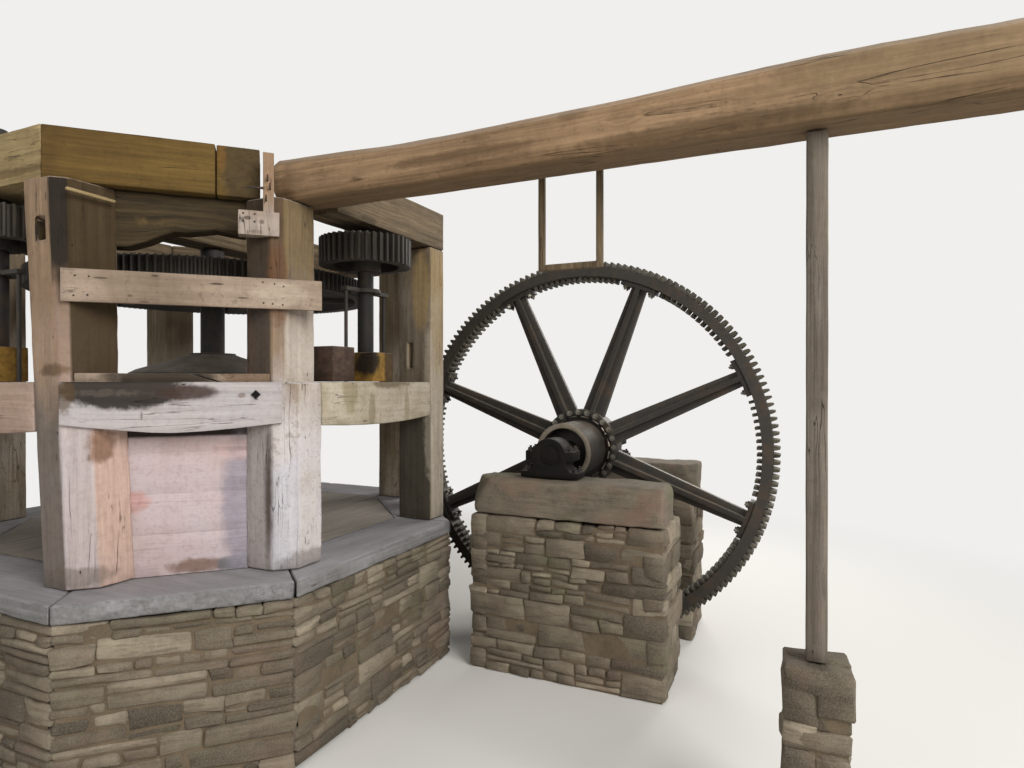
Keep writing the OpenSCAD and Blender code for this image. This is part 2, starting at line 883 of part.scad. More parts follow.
// Bearing block under each spindle, with a wooden box beside it
module spindle_blocks() {
    color("gold")
        for (i = [right_bay, left_bay])
            difference() {
                in_bay(i) {
                    translate([square_out - bridge_d, -block_w / 2, bridge_z1])
                        cube([bridge_d, block_w, block_h]);
                    translate([square_out - bridge_d, -block_w / 2 - side_box_gap - side_box_l, bridge_z1])
                        cube([bridge_d * 0.8, side_box_l, side_box_h]);
                }
                spindle_bore(i, bridge_z1 + block_h - foot_deep, bridge_z1 + block_h + eps);
            }
}

// Yoke round the spindle on two rods that stand on the bridge beam
module spindle_jacks() {
    z1 = floor_z + yoke_z;
    color(iron)
        for (i = [right_bay, left_bay])
            in_bay(i)
                translate([post_off, 0, 0])
                    difference() {
                        union() {
                            for (s = [-1, 1])
                                translate([0, s * rod_span / 2, bridge_z1])
                                    cylinder(h = z1 - bridge_z1, r = rod_r);
                            translate([-yoke_w / 2, -rod_span / 2 - yoke_w / 2, z1 - yoke_t])
                                cube([yoke_w, rod_span + yoke_w, yoke_t]);
                            translate([0, 0, z1 - yoke_t]) cylinder(h = yoke_t, r = spindle_r + yoke_w);
                        }
                        translate([0, 0, z1 - yoke_t - eps])
                            cylinder(h = yoke_t + 2 * eps, r = spindle_r + yoke_gap);
                    }
}

// Puts children drawn round +Z at the pit wheel's centre, with their axis along the shaft
module at_wheel() {
    translate([wheel_x, wheel_y, wheel_zc]) rotate([90, 0, 0]) children();
}

// Iron rim with a mortise for each cog
module pit_wheel_rim() {
    slot = shank_t + 2 * shank_gap;
    color(iron)
        at_wheel()
            difference() {
                translate([0, 0, -rim_w / 2]) cylinder(h = rim_w, r = rim_r);
                translate([0, 0, -rim_w]) cylinder(h = 2 * rim_w, r = rim_in);
                for (k = [0 : wheel_cogs - 1])
                    rotate([0, 0, 360 * k / wheel_cogs])
                        translate([rim_in - rim_t, -slot / 2, -cog_w / 2 - shank_gap])
                            cube([3 * rim_t, slot, cog_w + 2 * shank_gap]);
            }
}

// Angle between a cog and the nearest arm
function off_arm(k) =
    let (gap = 360 / arms, a = 360 * k / wheel_cogs - arm_angle + 360)
    abs(a - gap * round(a / gap));

// Wooden cog: a shank through the rim, shoulders that sit on it, and a tooth
module cog(tail) {
    seat = rim_r + shank_gap;
    root = cog_pitch * 0.31;
    translate([0, 0, -cog_w / 2])
        linear_extrude(cog_w)
            polygon([
                [rim_in + tail, -shank_t / 2], [seat, -shank_t / 2], [seat, -root],
                [seat + cog_out / 2, -root * 0.86], [wheel_r, -root * 0.5], [wheel_r, root * 0.5],
                [seat + cog_out / 2, root * 0.86], [seat, root], [seat, shank_t / 2],
                [rim_in + tail, shank_t / 2]
            ]);
}

// The shanks stick out inside the rim, except over the pads of the arms
module pit_wheel_cogs() {
    pad_angle = asin(pad_l / 2 / rim_in) + 360 / wheel_cogs / 2;
    color("saddlebrown")
        at_wheel()
            for (k = [0 : wheel_cogs - 1])
                rotate([0, 0, 360 * k / wheel_cogs]) cog(off_arm(k) < pad_angle ? shank_short : -shank_out);
}

// Hub plate, ribbed arms and the pads that hold the rim
module pit_wheel_spider() {
    pad_in = rim_in - pad_t;
    arm_start = hub_r - hub_ring_w;
    arm_end = pad_in + pad_t / 2;
    color(iron)
        at_wheel()
            difference() {
                union() {
                    translate([0, 0, -hub_t / 2]) cylinder(h = hub_t, r = hub_r);
                    difference() {
                        translate([0, 0, -hub_t / 2 - hub_ring_h])
                            cylinder(h = hub_t + 2 * hub_ring_h, r = hub_r);
                        translate([0, 0, -hub_t]) cylinder(h = 2 * hub_t, r = hub_r - hub_ring_w);
                    }
                    for (k = [0 : arms - 1])
                        rotate([0, 0, arm_angle + 360 / arms * k]) {
                            translate([0, 0, -arm_t / 2])
                                linear_extrude(arm_t)
                                    polygon([
                                        [arm_start, -arm_root / 2], [arm_end, -arm_tip / 2],
                                        [arm_end, arm_tip / 2], [arm_start, arm_root / 2]
                                    ]);
                            translate([arm_start + hub_ring_w / 2, -rib_t / 2, -rib_d / 2])
                                cube([arm_end - arm_start - hub_ring_w / 2, rib_t, rib_d]);
                            intersection() {
                                difference() {
                                    translate([0, 0, -rib_d / 2]) cylinder(h = rib_d, r = rim_in, $fn = 256);
                                    translate([0, 0, -rib_d]) cylinder(h = 2 * rib_d, r = pad_in, $fn = 256);
                                }
                                translate([pad_in - pad_t, -pad_l / 2, -rib_d])
                                    cube([3 * pad_t, pad_l, 2 * rib_d]);
                            }
                        }
                }
                translate([0, 0, -hub_t]) cylinder(h = 2 * hub_t, r = gudgeon_r + collar);
            }
}

// Shaft with a collar in the hub, a drum on both sides that is hollow at its end, and gudgeons
module pit_wheel_shaft() {
    color(iron)
        at_wheel()
            union() {
                translate([0, 0, -shaft_out]) cylinder(h = 2 * shaft_out, r = gudgeon_r);
                translate([0, 0, -shaft_out - drive_end]) cylinder(h = drive_end, r = drive_r);
                translate([0, 0, -hub_t / 2]) cylinder(h = hub_t, r = gudgeon_r + collar);
                for (s = [0, 1])
                    mirror([0, 0, s])
                        difference() {
                            translate([0, 0, hub_t / 2]) cylinder(h = drum_out - hub_t / 2, r = drum_r);
                            translate([0, 0, drum_out - drum_hollow])
                                cylinder(h = 2 * drum_hollow, r = drum_r - drum_wall);
                        }
            }
}

// Pedestal bearing with a foot, a waisted body and a bolted cap
module wheel_bearings() {
    half_gap = shaft_out - bearing_l;
    drop = wheel_zc - stone_z1;
    cap_r = body_w / 2;
    color(iron)
        for (s = [-1, 1])
            difference() {
                translate([wheel_x, wheel_y + s * (half_gap + bearing_l / 2), stone_z1])
                    rotate([90, 0, 0])
                        union() {
                            translate([0, 0, -bearing_l / 2])
                                linear_extrude(bearing_l)
                                    polygon([
                                        [-bearing_w / 2, 0], [bearing_w / 2, 0], [bearing_w / 2, foot_t],
                                        [cap_r + foot_t, foot_t], [cap_r, 2 * foot_t],
                                        [cap_r, drop - ear_t], [ear_w / 2, drop - ear_t],
                                        [ear_w / 2, drop + ear_t], [-ear_w / 2, drop + ear_t],
                                        [-ear_w / 2, drop - ear_t], [-cap_r, drop - ear_t],
                                        [-cap_r, 2 * foot_t], [-cap_r - foot_t, foot_t],
                                        [-bearing_w / 2, foot_t]
                                    ]);
                            translate([0, drop, 0]) cylinder(h = bearing_l, r = cap_r, center = true);
                        }
                at_wheel() cylinder(h = 2 * shaft_out + 2 * eps, r = gudgeon_r + running, center = true);
            }
}

module bearing_stone(s) {
    y0 = s < 0 ? wheel_y - stone_off - stone_d : wheel_y + stone_off;
    color("silver")
        translate([wheel_x + stone_shift - stone_w / 2, y0, stone_z0]) cube([stone_w, stone_d, stone_h]);
}

module front_bearing_stone() {
    bearing_stone(-1);
}

module rear_bearing_stone() {
    bearing_stone(1);
}

module rubble_plinth(s) {
    deep = stone_d + rubble_in;
    y0 = s < 0 ? wheel_y - stone_off - stone_d : wheel_y + stone_off - rubble_in;
    color(rubble)
        translate([wheel_x + stone_shift - stone_w / 2, y0, 0]) cube([stone_w, deep, stone_z0]);
}

module front_rubble_plinth() {
    rubble_plinth(-1);
}

module rear_rubble_plinth() {
    rubble_plinth(1);
}

footing_square_walls();
footing_corner_walls();
stone_piers();
sills_square();
sills_corner();
inner_deck();
front_left_post();
front_right_post();
right_rear_post();
rear_posts();
front_bridge_beam();
right_bridge_beam();
left_bridge_beam();
rear_bridge_beams();
front_head_beam();
right_head_beam();
left_head_beam();
rear_head_beams();
crooked_timber();
corbel_block();
front_boards();
front_panel();
great_beam();
beam_prop();
hanging_cradle();
shaft_head_beam();
upright_shaft();
great_spur_wheel();
crown_wheel();
shaft_footstep();
right_spindle();
right_stone_nut();
left_spindle();
left_stone_nut();
spindle_blocks();
spindle_jacks();
pit_wheel_rim();
pit_wheel_cogs();
pit_wheel_spider();
pit_wheel_shaft();
wheel_bearings();
front_bearing_stone();
front_rubble_plinth();
rear_bearing_stone();
rear_rubble_plinth();
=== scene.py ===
import json
import math
import random

import bmesh
import bpy
from mathutils import Matrix, Vector, noise


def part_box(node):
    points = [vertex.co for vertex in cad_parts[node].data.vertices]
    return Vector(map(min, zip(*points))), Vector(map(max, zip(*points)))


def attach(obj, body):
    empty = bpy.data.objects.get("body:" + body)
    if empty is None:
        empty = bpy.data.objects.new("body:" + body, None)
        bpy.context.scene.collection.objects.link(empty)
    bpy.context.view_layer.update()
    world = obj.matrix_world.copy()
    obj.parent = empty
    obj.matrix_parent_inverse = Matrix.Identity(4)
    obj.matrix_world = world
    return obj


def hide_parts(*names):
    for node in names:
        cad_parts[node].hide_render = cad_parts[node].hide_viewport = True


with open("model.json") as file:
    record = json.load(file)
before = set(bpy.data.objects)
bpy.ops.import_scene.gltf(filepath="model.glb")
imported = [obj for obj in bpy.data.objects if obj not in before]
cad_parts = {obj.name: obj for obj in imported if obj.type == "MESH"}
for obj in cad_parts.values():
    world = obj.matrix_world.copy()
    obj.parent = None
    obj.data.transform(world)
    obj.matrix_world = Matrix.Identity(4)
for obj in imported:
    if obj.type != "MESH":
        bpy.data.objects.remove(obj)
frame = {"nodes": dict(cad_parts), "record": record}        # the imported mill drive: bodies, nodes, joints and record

noise.seed_set(11)       # the stones and the cogs come out the same each run

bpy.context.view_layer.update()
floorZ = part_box("sills_square")[0].z          # level of the mill floor
wheelMid = (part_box("pit_wheel_rim")[0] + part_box("pit_wheel_rim")[1]) / 2

print("stage: camera, floor and light")

camera = {
    "place": (5.08, -4.33, floorZ + 1.40),     # where the photo was taken from
    "turn": 24.5,                              # degrees left of the joists' direction
    "tilt": -0.2,
    "lens": 22.5,
}
studio = {
    "floor": "#D9D6D0",
    "world": "#FFFFFF",
    "worldStrength": 0.30,
    "backdrop": "#F0EFED",
    "keyPower": 1500.0,
    "keySize": 6.0,
    "keyPlace": (12.2, -4.9, 7.7),
    "fillPower": 170.0,
    "fillSize": 4.5,
    "fillPlace": (0.5, -9.0, 4.5),
    "rearPower": 420.0,
    "rearPlace": (4.0, 7.5, 5.5),
    "aim": (1.8, 0.0, 1.8),                    # what the lamps look at
    "fadeMiddle": (2.0, 0.0, 0.0),
    "fadeStart": 4.2,                          # metres from that middle where the floor starts to fade
    "fadeEnd": 9.5,
}


def linear(code):
    # sRGB hex to the linear colour that Blender's sockets take
    parts = [int(code[i:i + 2], 16) / 255 for i in (1, 3, 5)]
    return tuple(c / 12.92 if c <= 0.04045 else ((c + 0.055) / 1.055) ** 2.4 for c in parts) + (1.0,)


def addNode(tree, kind, inputs=None, **settings):
    # one node with its settings; an input is a value or another node's output
    node = tree.nodes.new(kind)
    for key, value in settings.items():
        setattr(node, key, value)
    for key, value in (inputs or {}).items():
        if isinstance(value, bpy.types.NodeSocket):
            tree.links.new(value, node.inputs[key])
        else:
            node.inputs[key].default_value = value
    return node


def ramp(tree, value, stops):
    # colour ramp from (position, grey or hex) pairs
    node = addNode(tree, "ShaderNodeValToRGB", {"Fac": value})
    elements = node.color_ramp.elements
    while len(elements) < len(stops):
        elements.new(0.5)
    for element, (place, colour) in zip(elements, stops):
        element.position = place
        element.color = linear(colour) if isinstance(colour, str) else (colour, colour, colour, 1)
    return node.outputs["Color"]


def mix(tree, amount, low, high, blend="MIX"):
    # blends two colours by an amount
    node = addNode(tree, "ShaderNodeMix", {}, data_type="RGBA", blend_type=blend)
    for place, value in ((0, amount), (6, low), (7, high)):
        if isinstance(value, bpy.types.NodeSocket):
            tree.links.new(value, node.inputs[place])
        elif isinstance(value, str):
            node.inputs[place].default_value = linear(value)
        else:
            node.inputs[place].default_value = value
    return node.outputs[2]


def calc(tree, operation, a, b=0.0, clamp=False):
    node = addNode(tree, "ShaderNodeMath", {0: a, 1: b}, operation=operation, use_clamp=clamp)
    return node.outputs[0]


def times(tree, a, b):
    return calc(tree, "MULTIPLY", a, b)


def plus(tree, a, b):
    return calc(tree, "ADD", a, b)


def weighed(tree, *shares):
    # several values added up, each in its share
    total = 0.0
    for value, share in shares:
        total = plus(tree, total, times(tree, value, share))
    return total


def ranged(tree, value, low, high, toLow=0.0, toHigh=1.0, kind="LINEAR"):
    # a value carried from one range to another and held at its ends
    return addNode(tree, "ShaderNodeMapRange", {
        "Value": value, "From Min": low, "From Max": high, "To Min": toLow, "To Max": toHigh,
    }, interpolation_type=kind).outputs[0]


def stretched(tree, place, scale):
    return addNode(tree, "ShaderNodeMapping", {"Vector": place, "Scale": scale}).outputs[0]


def layerOf(tree, name, kind="Fac"):
    # a value that the mesh carries at its points
    return addNode(tree, "ShaderNodeAttribute", attribute_name=name).outputs[kind]


def heightOf(tree, vector):
    return addNode(tree, "ShaderNodeSeparateXYZ", {0: vector}).outputs["Z"]


def greyOf(tree, value):
    return addNode(tree, "ShaderNodeCombineXYZ", {0: value, 1: value, 2: value}).outputs[0]


def noiseAt(tree, place, scale, detail=5, rough=0.6, bend=0.0):
    return addNode(tree, "ShaderNodeTexNoise", {
        "Vector": place, "Scale": scale, "Detail": detail, "Roughness": rough, "Distortion": bend,
    }).outputs["Fac"]


def newMaterial(name):
    material = bpy.data.materials.new(name)
    material.use_nodes = True
    material.node_tree.nodes.clear()
    tree = material.node_tree
    shader = addNode(tree, "ShaderNodeBsdfPrincipled")
    output = addNode(tree, "ShaderNodeOutputMaterial")
    tree.links.new(shader.outputs[0], output.inputs[0])
    return material, tree, shader, output


def finishShader(tree, shader, colour, rough, shine, relief, strength, depth):
    # colour, sheen and relief of a finish
    tree.links.new(colour, shader.inputs["Base Color"])
    shader.inputs["Roughness"].default_value = rough
    shader.inputs["Specular IOR Level"].default_value = shine
    bump = addNode(tree, "ShaderNodeBump", {"Height": relief, "Strength": strength, "Distance": depth})
    tree.links.new(bump.outputs[0], shader.inputs["Normal"])


def setCamera():
    data = bpy.data.cameras.new("camera")
    data.lens = camera["lens"]
    data.sensor_width = 36
    seat = bpy.data.objects.new("camera", data)
    seat.location = camera["place"]
    seat.rotation_euler = (math.radians(90 + camera["tilt"]), 0, math.radians(camera["turn"]))
    bpy.context.scene.collection.objects.link(seat)
    bpy.context.scene.camera = seat


def addLamp(name, place, power, size):
    data = bpy.data.lights.new(name, "AREA")
    data.energy = power
    data.size = size
    lamp = bpy.data.objects.new(name, data)
    lamp.location = place
    lamp.rotation_euler = (Vector(studio["aim"]) - Vector(place)).to_track_quat("-Z", "Y").to_euler()
    bpy.context.scene.collection.objects.link(lamp)


def setStudio():
    scene = bpy.context.scene
    scene.view_settings.view_transform = "Standard"
    addLamp("keyLight", studio["keyPlace"], studio["keyPower"], studio["keySize"])
    addLamp("fillLight", studio["fillPlace"], studio["fillPower"], studio["fillSize"])
    addLamp("rearLight", studio["rearPlace"], studio["rearPower"], studio["fillSize"])
    world = bpy.data.worlds.new("studio")
    world.use_nodes = True
    scene.world = world
    tree = world.node_tree
    tree.nodes.clear()
    rays = addNode(tree, "ShaderNodeLightPath")
    seen = calc(tree, "MAXIMUM", rays.outputs["Is Camera Ray"], rays.outputs["Is Glossy Ray"])
    seen = calc(tree, "MAXIMUM", seen, rays.outputs["Is Transmission Ray"])
    light = addNode(tree, "ShaderNodeBackground",
                    {"Color": linear(studio["world"]), "Strength": studio["worldStrength"]})
    shown = addNode(tree, "ShaderNodeBackground", {"Color": linear(studio["backdrop"]), "Strength": 1.0})
    both = addNode(tree, "ShaderNodeMixShader", {0: seen, 1: light.outputs[0], 2: shown.outputs[0]})
    addNode(tree, "ShaderNodeOutputWorld", {0: both.outputs[0]})
    # the floor keeps the shadow near the part and fades into the backdrop further out
    material, tree, shader, output = newMaterial("studioFloor")
    shader.inputs["Base Color"].default_value = linear(studio["floor"])
    shader.inputs["Roughness"].default_value = 0.9
    place = addNode(tree, "ShaderNodeTexCoord").outputs["Object"]
    away = addNode(tree, "ShaderNodeVectorMath", {0: place, 1: studio["fadeMiddle"]}, operation="DISTANCE")
    fade = ranged(tree, away.outputs["Value"], studio["fadeStart"], studio["fadeEnd"], kind="SMOOTHSTEP")
    rays = addNode(tree, "ShaderNodeLightPath")
    fade = times(tree, fade, rays.outputs["Is Camera Ray"])
    glow = addNode(tree, "ShaderNodeEmission", {"Color": linear(studio["backdrop"]), "Strength": 1.0})
    both = addNode(tree, "ShaderNodeMixShader", {0: fade, 1: shader.outputs[0], 2: glow.outputs[0]})
    tree.links.new(both.outputs[0], output.inputs[0])
    bm = bmesh.new()
    bmesh.ops.create_grid(bm, x_segments=2, y_segments=2, size=90)
    mesh = bpy.data.meshes.new("studioFloor")
    bm.to_mesh(mesh)
    bm.free()
    mesh.materials.append(material)
    floor = bpy.data.objects.new("studioFloor", mesh)
    floor.location.z = -0.002
    bpy.context.scene.collection.objects.link(floor)


setCamera()
setStudio()

print("stage: finishes")


frontTurn = math.radians(315)                  # the way the frame's front bay faces


def bayPoint(out, across, z):
    # a point of the front bay: out from the frame's middle, across to the right, and up
    return Vector((out * math.cos(frontTurn) - across * math.sin(frontTurn),
                   out * math.sin(frontTurn) + across * math.cos(frontTurn), z))


# dark and pale are the wood's own tones, wash and wash2 the old lime's; amount is how much of the lime is
# left, from least on the bare spots to most in the hollows; marks is the share of worm holes and nicks
oakLooks = {
    "limewashedOak": {
        "dark": "#4E4030", "pale": "#8F7D63", "wash": "#BDB4A6", "wash2": "#A9977E",
        "amount": 0.60, "least": 0.25, "most": 0.85, "marks": 0.5},
    "weatheredOak": {
        "dark": "#3B3022", "pale": "#7F6D54", "wash": "#93866F", "wash2": "#7C6B52",
        "amount": 0.30, "least": 0.0, "most": 0.6, "marks": 0.5},
    "darkHewnOak": {
        "dark": "#1E170E", "pale": "#50422A", "wash": "#6F5933", "wash2": "#4A4031",
        "amount": 0.22, "least": 0.0, "most": 0.6, "marks": 0.3},
    "ochreOak": {
        "dark": "#33250F", "pale": "#685027", "wash": "#78602F", "wash2": "#5A4420",
        "amount": 0.50, "least": 0.30, "most": 0.75, "marks": 0.25, "drip": 0.10},
    "creamOak": {
        "dark": "#66563A", "pale": "#AE976B", "wash": "#BCA67D", "wash2": "#8E7A52",
        "amount": 0.55, "least": 0.35, "most": 0.85, "marks": 0.2},
    "greatBeamOak": {
        "dark": "#4C3A28", "pale": "#A08364", "wash": "#B59572", "wash2": "#97795A",
        "amount": 0.50, "least": 0.30, "most": 0.75, "marks": 0.35, "split": 0.5, "crackW": 0.012},
    "railOak": {
        "dark": "#4B3C2F", "pale": "#94826E", "wash": "#A69382", "wash2": "#8F7D6B",
        "amount": 0.70, "least": 0.55, "most": 0.92, "marks": 1.0},
    "pinkLimewash": {
        "dark": "#7A665D", "pale": "#AC9790", "wash": "#BFB2B4", "wash2": "#BCA6A2",
        "amount": 0.95, "least": 0.84, "most": 0.97, "marks": 0.08, "crack": 0.2, "flake": 0.25, "drip": 0.15},
    "whitePost": {
        "dark": "#54463A", "pale": "#A08F7D", "wash": "#C8C3C4", "wash2": "#C4BAB3",
        "amount": 0.92, "least": 0.76, "most": 0.96, "marks": 0.55, "flake": 0.45, "drip": 0.22},
    "pinkPost": {
        "dark": "#5A4738", "pale": "#9E8773", "wash": "#B8A49C", "wash2": "#B39585",
        "amount": 0.85, "least": 0.64, "most": 0.94, "marks": 0.5, "flake": 0.5, "drip": 0.30},
    "dampLimewash": {
        "dark": "#5A4C38", "pale": "#9C8C72", "wash": "#C2B7A8", "wash2": "#AFA38C",
        "amount": 0.80, "least": 0.50, "most": 0.95, "marks": 0.5, "flake": 0.5},
    "kerbOak": {
        "dark": "#4C4946", "pale": "#888682", "wash": "#A1A0A1", "wash2": "#838181",
        "amount": 0.55, "least": 0.3, "most": 0.85, "marks": 0.6, "dust": "#9B9698"},
    "deckOak": {
        "dark": "#4E463C", "pale": "#8C8274", "wash": "#A39C95", "wash2": "#857C72",
        "amount": 0.50, "least": 0.25, "most": 0.8, "marks": 0.5},
    "yellowBlock": {
        "dark": "#4C3614", "pale": "#A37B34", "wash": "#B8954F", "wash2": "#7E5E2A",
        "amount": 0.45, "least": 0.2, "most": 0.7, "marks": 0.1},
    "propOak": {
        "dark": "#433A31", "pale": "#7D7265", "wash": "#8C8276", "wash2": "#6E6459",
        "amount": 0.5, "least": 0.2, "most": 0.8, "marks": 0.6},
    "redBlock": {
        "dark": "#261C16", "pale": "#5A463A", "wash": "#6E5A4D", "wash2": "#43352B",
        "amount": 0.35, "least": 0.1, "most": 0.6, "marks": 0.1},
    "dryHornbeam": {
        "dark": "#2E2A23", "pale": "#625C4F", "wash": "#7A7466", "wash2": "#4B483C",
        "amount": 0.45, "least": 0.1, "most": 0.7, "marks": 0.0},
}


def faceTintAndShade(facing, low, high, tint, amount, ragged=0.6, soft=0.08):
    # a tint on the faces that look one way, between two heights; some are the wood's own colours and some are painted
    # shade on faces that lie in shadow
    return {"facing": facing, "low": low, "high": high, "tint": tint, "amount": amount,
            "ragged": ragged, "soft": soft}


def stain(at, size, tint, amount, turn=0, ragged=14, spread=0.9, soft=0.45):
    # a patch round a point of the part, mostly stain and dirt, and painted shade where marked
    return {"at": at, "size": size, "tint": tint, "amount": amount, "turn": turn,
            "ragged": ragged, "spread": spread, "soft": soft}


def bayStain(at, size, tint, amount, **edge):
    # a patch on the front bay, by its distance out, across and up
    return stain(bayPoint(*at), size, tint, amount, -45, **edge)


def addStainAndShade(tree, colour, place, patch, texture):
    # one soft-edged patch of dirt, grease, old paint or painted shade, placed on the real piece
    local = addNode(tree, "ShaderNodeMapping", {
        "Vector": place, "Location": patch["at"], "Rotation": (0, 0, math.radians(patch["turn"])),
        "Scale": patch["size"],
    }, vector_type="TEXTURE").outputs[0]
    away = addNode(tree, "ShaderNodeVectorMath", {0: local}, operation="LENGTH").outputs["Value"]
    ragged = calc(tree, "SUBTRACT", noiseAt(tree, place, patch["ragged"], 7, 0.62), 0.5)
    away = plus(tree, away, times(tree, ragged, patch["spread"]))
    mask = ranged(tree, away, 1.0 - patch["soft"], 1.0, patch["amount"], 0.0, "SMOOTHSTEP")
    return mix(tree, mask, colour, mix(tree, 1.0, linear(patch["tint"]), texture, "MULTIPLY"))


def addZone(tree, colour, place, normal, broken, band, texture):
    # tints one zone, with its two edges broken up by the patches of the wash
    broken = times(tree, calc(tree, "SUBTRACT", broken, 0.5), band["ragged"])
    height = plus(tree, heightOf(tree, place), broken)
    low = ranged(tree, height, band["low"] - band["soft"], band["low"] + band["soft"])
    high = ranged(tree, height, band["high"] + band["soft"], band["high"] - band["soft"])
    facing = addNode(tree, "ShaderNodeVectorMath", {0: normal, 1: band["facing"]}, operation="DOT_PRODUCT")
    facing = ramp(tree, facing.outputs["Value"], [(0.80, 0.0), (0.95, 1.0)])
    mask = times(tree, times(tree, times(tree, low, high), band["amount"]), facing)
    return mix(tree, mask, colour, mix(tree, 1.0, linear(band["tint"]), texture, "MULTIPLY"))


def scattered(tree, place, scale, size, share):
    # spots at random places: 1 in the middle of a spot, and none in the cells past the share
    cells = addNode(tree, "ShaderNodeTexVoronoi", {"Vector": stretched(tree, place, scale), "Scale": 1.0})
    spot = ramp(tree, cells.outputs["Distance"], [(size * 0.55, 1.0), (size, 0.0)])
    draw = addNode(tree, "ShaderNodeSeparateColor", {0: cells.outputs["Color"]}).outputs[0]
    return times(tree, spot, calc(tree, "LESS_THAN", draw, share))


def oak(name, look, marks=(), bands=(), washTop=None):
    # Hewn oak: dull fibres that bend round knots, drying cracks, worm holes, and the rest of an old limewash
    material, tree, shader, _ = newMaterial(name)
    grain = layerOf(tree, "grain", "Vector")
    wear = layerOf(tree, "wear")
    tone = layerOf(tree, "tone")
    coords = addNode(tree, "ShaderNodeTexCoord")
    place, normal = coords.outputs["Object"], coords.outputs["Normal"]
    knots = scattered(tree, grain, (2.1, 5.2, 5.2), 0.30, 0.35)
    pushed = addNode(tree, "ShaderNodeCombineXYZ", {1: times(tree, knots, 0.035)}).outputs[0]
    bent = addNode(tree, "ShaderNodeVectorMath", {0: grain, 1: pushed}).outputs[0]
    streaks = noiseAt(tree, stretched(tree, bent, (1.0, 30, 30)), 1.0, 7, 0.66)
    fibres = noiseAt(tree, stretched(tree, bent, (7, 210, 210)), 1.0, 3)
    patches = noiseAt(tree, stretched(tree, grain, (1.6, 4.2, 4.2)), 1.0, 9, 0.66)
    broad = noiseAt(tree, place, 1.5, 6, 0.6, 0.4)
    scale = 13 * look.get("split", 1.0)
    split = addNode(tree, "ShaderNodeMapping", {
        "Vector": bent, "Scale": (0.055 * scale, scale, scale), "Location": (3, 7, 1)}).outputs[0]
    half = look.get("crackW", 0.007)
    cracks = noiseAt(tree, split, 1.0, 3, 0.5, 0.3)
    cracks = ramp(tree, cracks, [(0.5 - half, 0.0), (0.5, 1.0), (0.5 + half, 0.0)])
    cracks = times(tree, cracks, ramp(tree, patches, [(0.50, 0.0), (0.60, 1.0)]))
    wood = mix(tree, ramp(tree, streaks, [(0.28, 0.0), (0.70, 1.0)]), look["dark"], look["pale"])
    wood = mix(tree, times(tree, ramp(tree, fibres, [(0.45, 0.0), (0.62, 1.0)]), 0.40), wood, look["dark"])
    wood = mix(tree, times(tree, knots, 0.45), wood, look["dark"])
    # the wash stays in the hollows, thins out along the fibres and has gone from the arrises
    hold = weighed(tree, (patches, 0.6), (streaks, 0.25), (fibres, 0.15), (wear, -0.10))
    start = 0.62 - 0.30 * look["amount"]
    cover = ranged(tree, hold, start, start + 0.17, look["least"], look["most"])
    # old lime flakes off in small sharp-edged scales
    scales = noiseAt(tree, place, 19, 9, 0.72)
    flaked = ramp(tree, plus(tree, scales, times(tree, wear, 0.10)), [(0.57, 0.0), (0.61, 1.0)])
    flaked = times(tree, flaked, look.get("flake", 0.55))
    cover = times(tree, cover, calc(tree, "SUBTRACT", 1.0, flaked))
    if washTop:
        height = plus(tree, heightOf(tree, place), times(tree, calc(tree, "SUBTRACT", streaks, 0.5), 0.9))
        level = ranged(tree, height, washTop - 0.15, washTop + 0.15, 1.0, 0.15, "SMOOTHSTEP")
        cover = times(tree, cover, level)
    wash = mix(tree, ramp(tree, broad, [(0.35, 0.0), (0.65, 1.0)]), look["wash"], look["wash2"])
    wash = mix(tree, ramp(tree, scales, [(0.35, 0.22), (0.5, 0.0)]), wash, look["dark"])
    colour = mix(tree, cover, wood, wash)
    shadowed = times(tree, ramp(tree, broad, [(0.52, 0.0), (0.75, 1.0)]), 0.30)
    colour = mix(tree, shadowed, colour, look["dark"])
    # rain and damp have run down the faces
    drips = noiseAt(tree, stretched(tree, place, (11, 11, 0.9)), 1.0, 6, 0.7)
    colour = mix(tree, ramp(tree, drips, [(0.52, 0.0), (0.78, look.get("drip", 0.30))]), colour, look["dark"])
    colour = mix(tree, 1.0, colour, greyOf(tree, ranged(tree, tone, 0.0, 1.0, 0.88, 1.08)), "MULTIPLY")
    # what lies on the wood, painted shade too, takes the relief of its fibres
    rubbed = weighed(tree, (streaks, 0.9), (scales, 0.7), (fibres, 0.3))
    texture = greyOf(tree, ranged(tree, rubbed, 0.65, 1.25, 0.62, 1.30))
    # facing tints: the wood's colours, and painted shade where marked
    for band in bands:
        colour = addZone(tree, colour, place, normal, patches, band, texture)
    # patches of stain and dirt, and painted shade where marked
    for patch in marks:
        colour = addStainAndShade(tree, colour, place, patch, texture)
    holes = scattered(tree, grain, (7, 19, 19), 0.085, 0.30 * look["marks"])
    nicks = scattered(tree, grain, (3.1, 13, 13), 0.12, 0.34 * look["marks"])
    colour = mix(tree, times(tree, nicks, 0.55), colour, "#3A2E24")
    dark = times(tree, cracks, look.get("crack", 0.8))
    dark = calc(tree, "MAXIMUM", dark, times(tree, holes, 0.9))
    colour = mix(tree, dark, colour, "#1D1610")
    up = heightOf(tree, normal)
    dust = ramp(tree, up, [(0.55, 0.0), (0.95, 1.0)])
    dust = times(tree, dust, ramp(tree, patches, [(0.3, 0.25), (0.7, 0.75)]))
    colour = mix(tree, dust, colour, look.get("dust", "#9C9388"))
    adze = noiseAt(tree, stretched(tree, grain, (9, 5, 5)), 1.0, 2)
    relief = weighed(tree, (fibres, 0.30), (streaks, 0.8), (adze, 0.9), (dark, -1.5))
    finishShader(tree, shader, colour, 0.88, 0.25, relief, 0.7, 0.008)
    return material


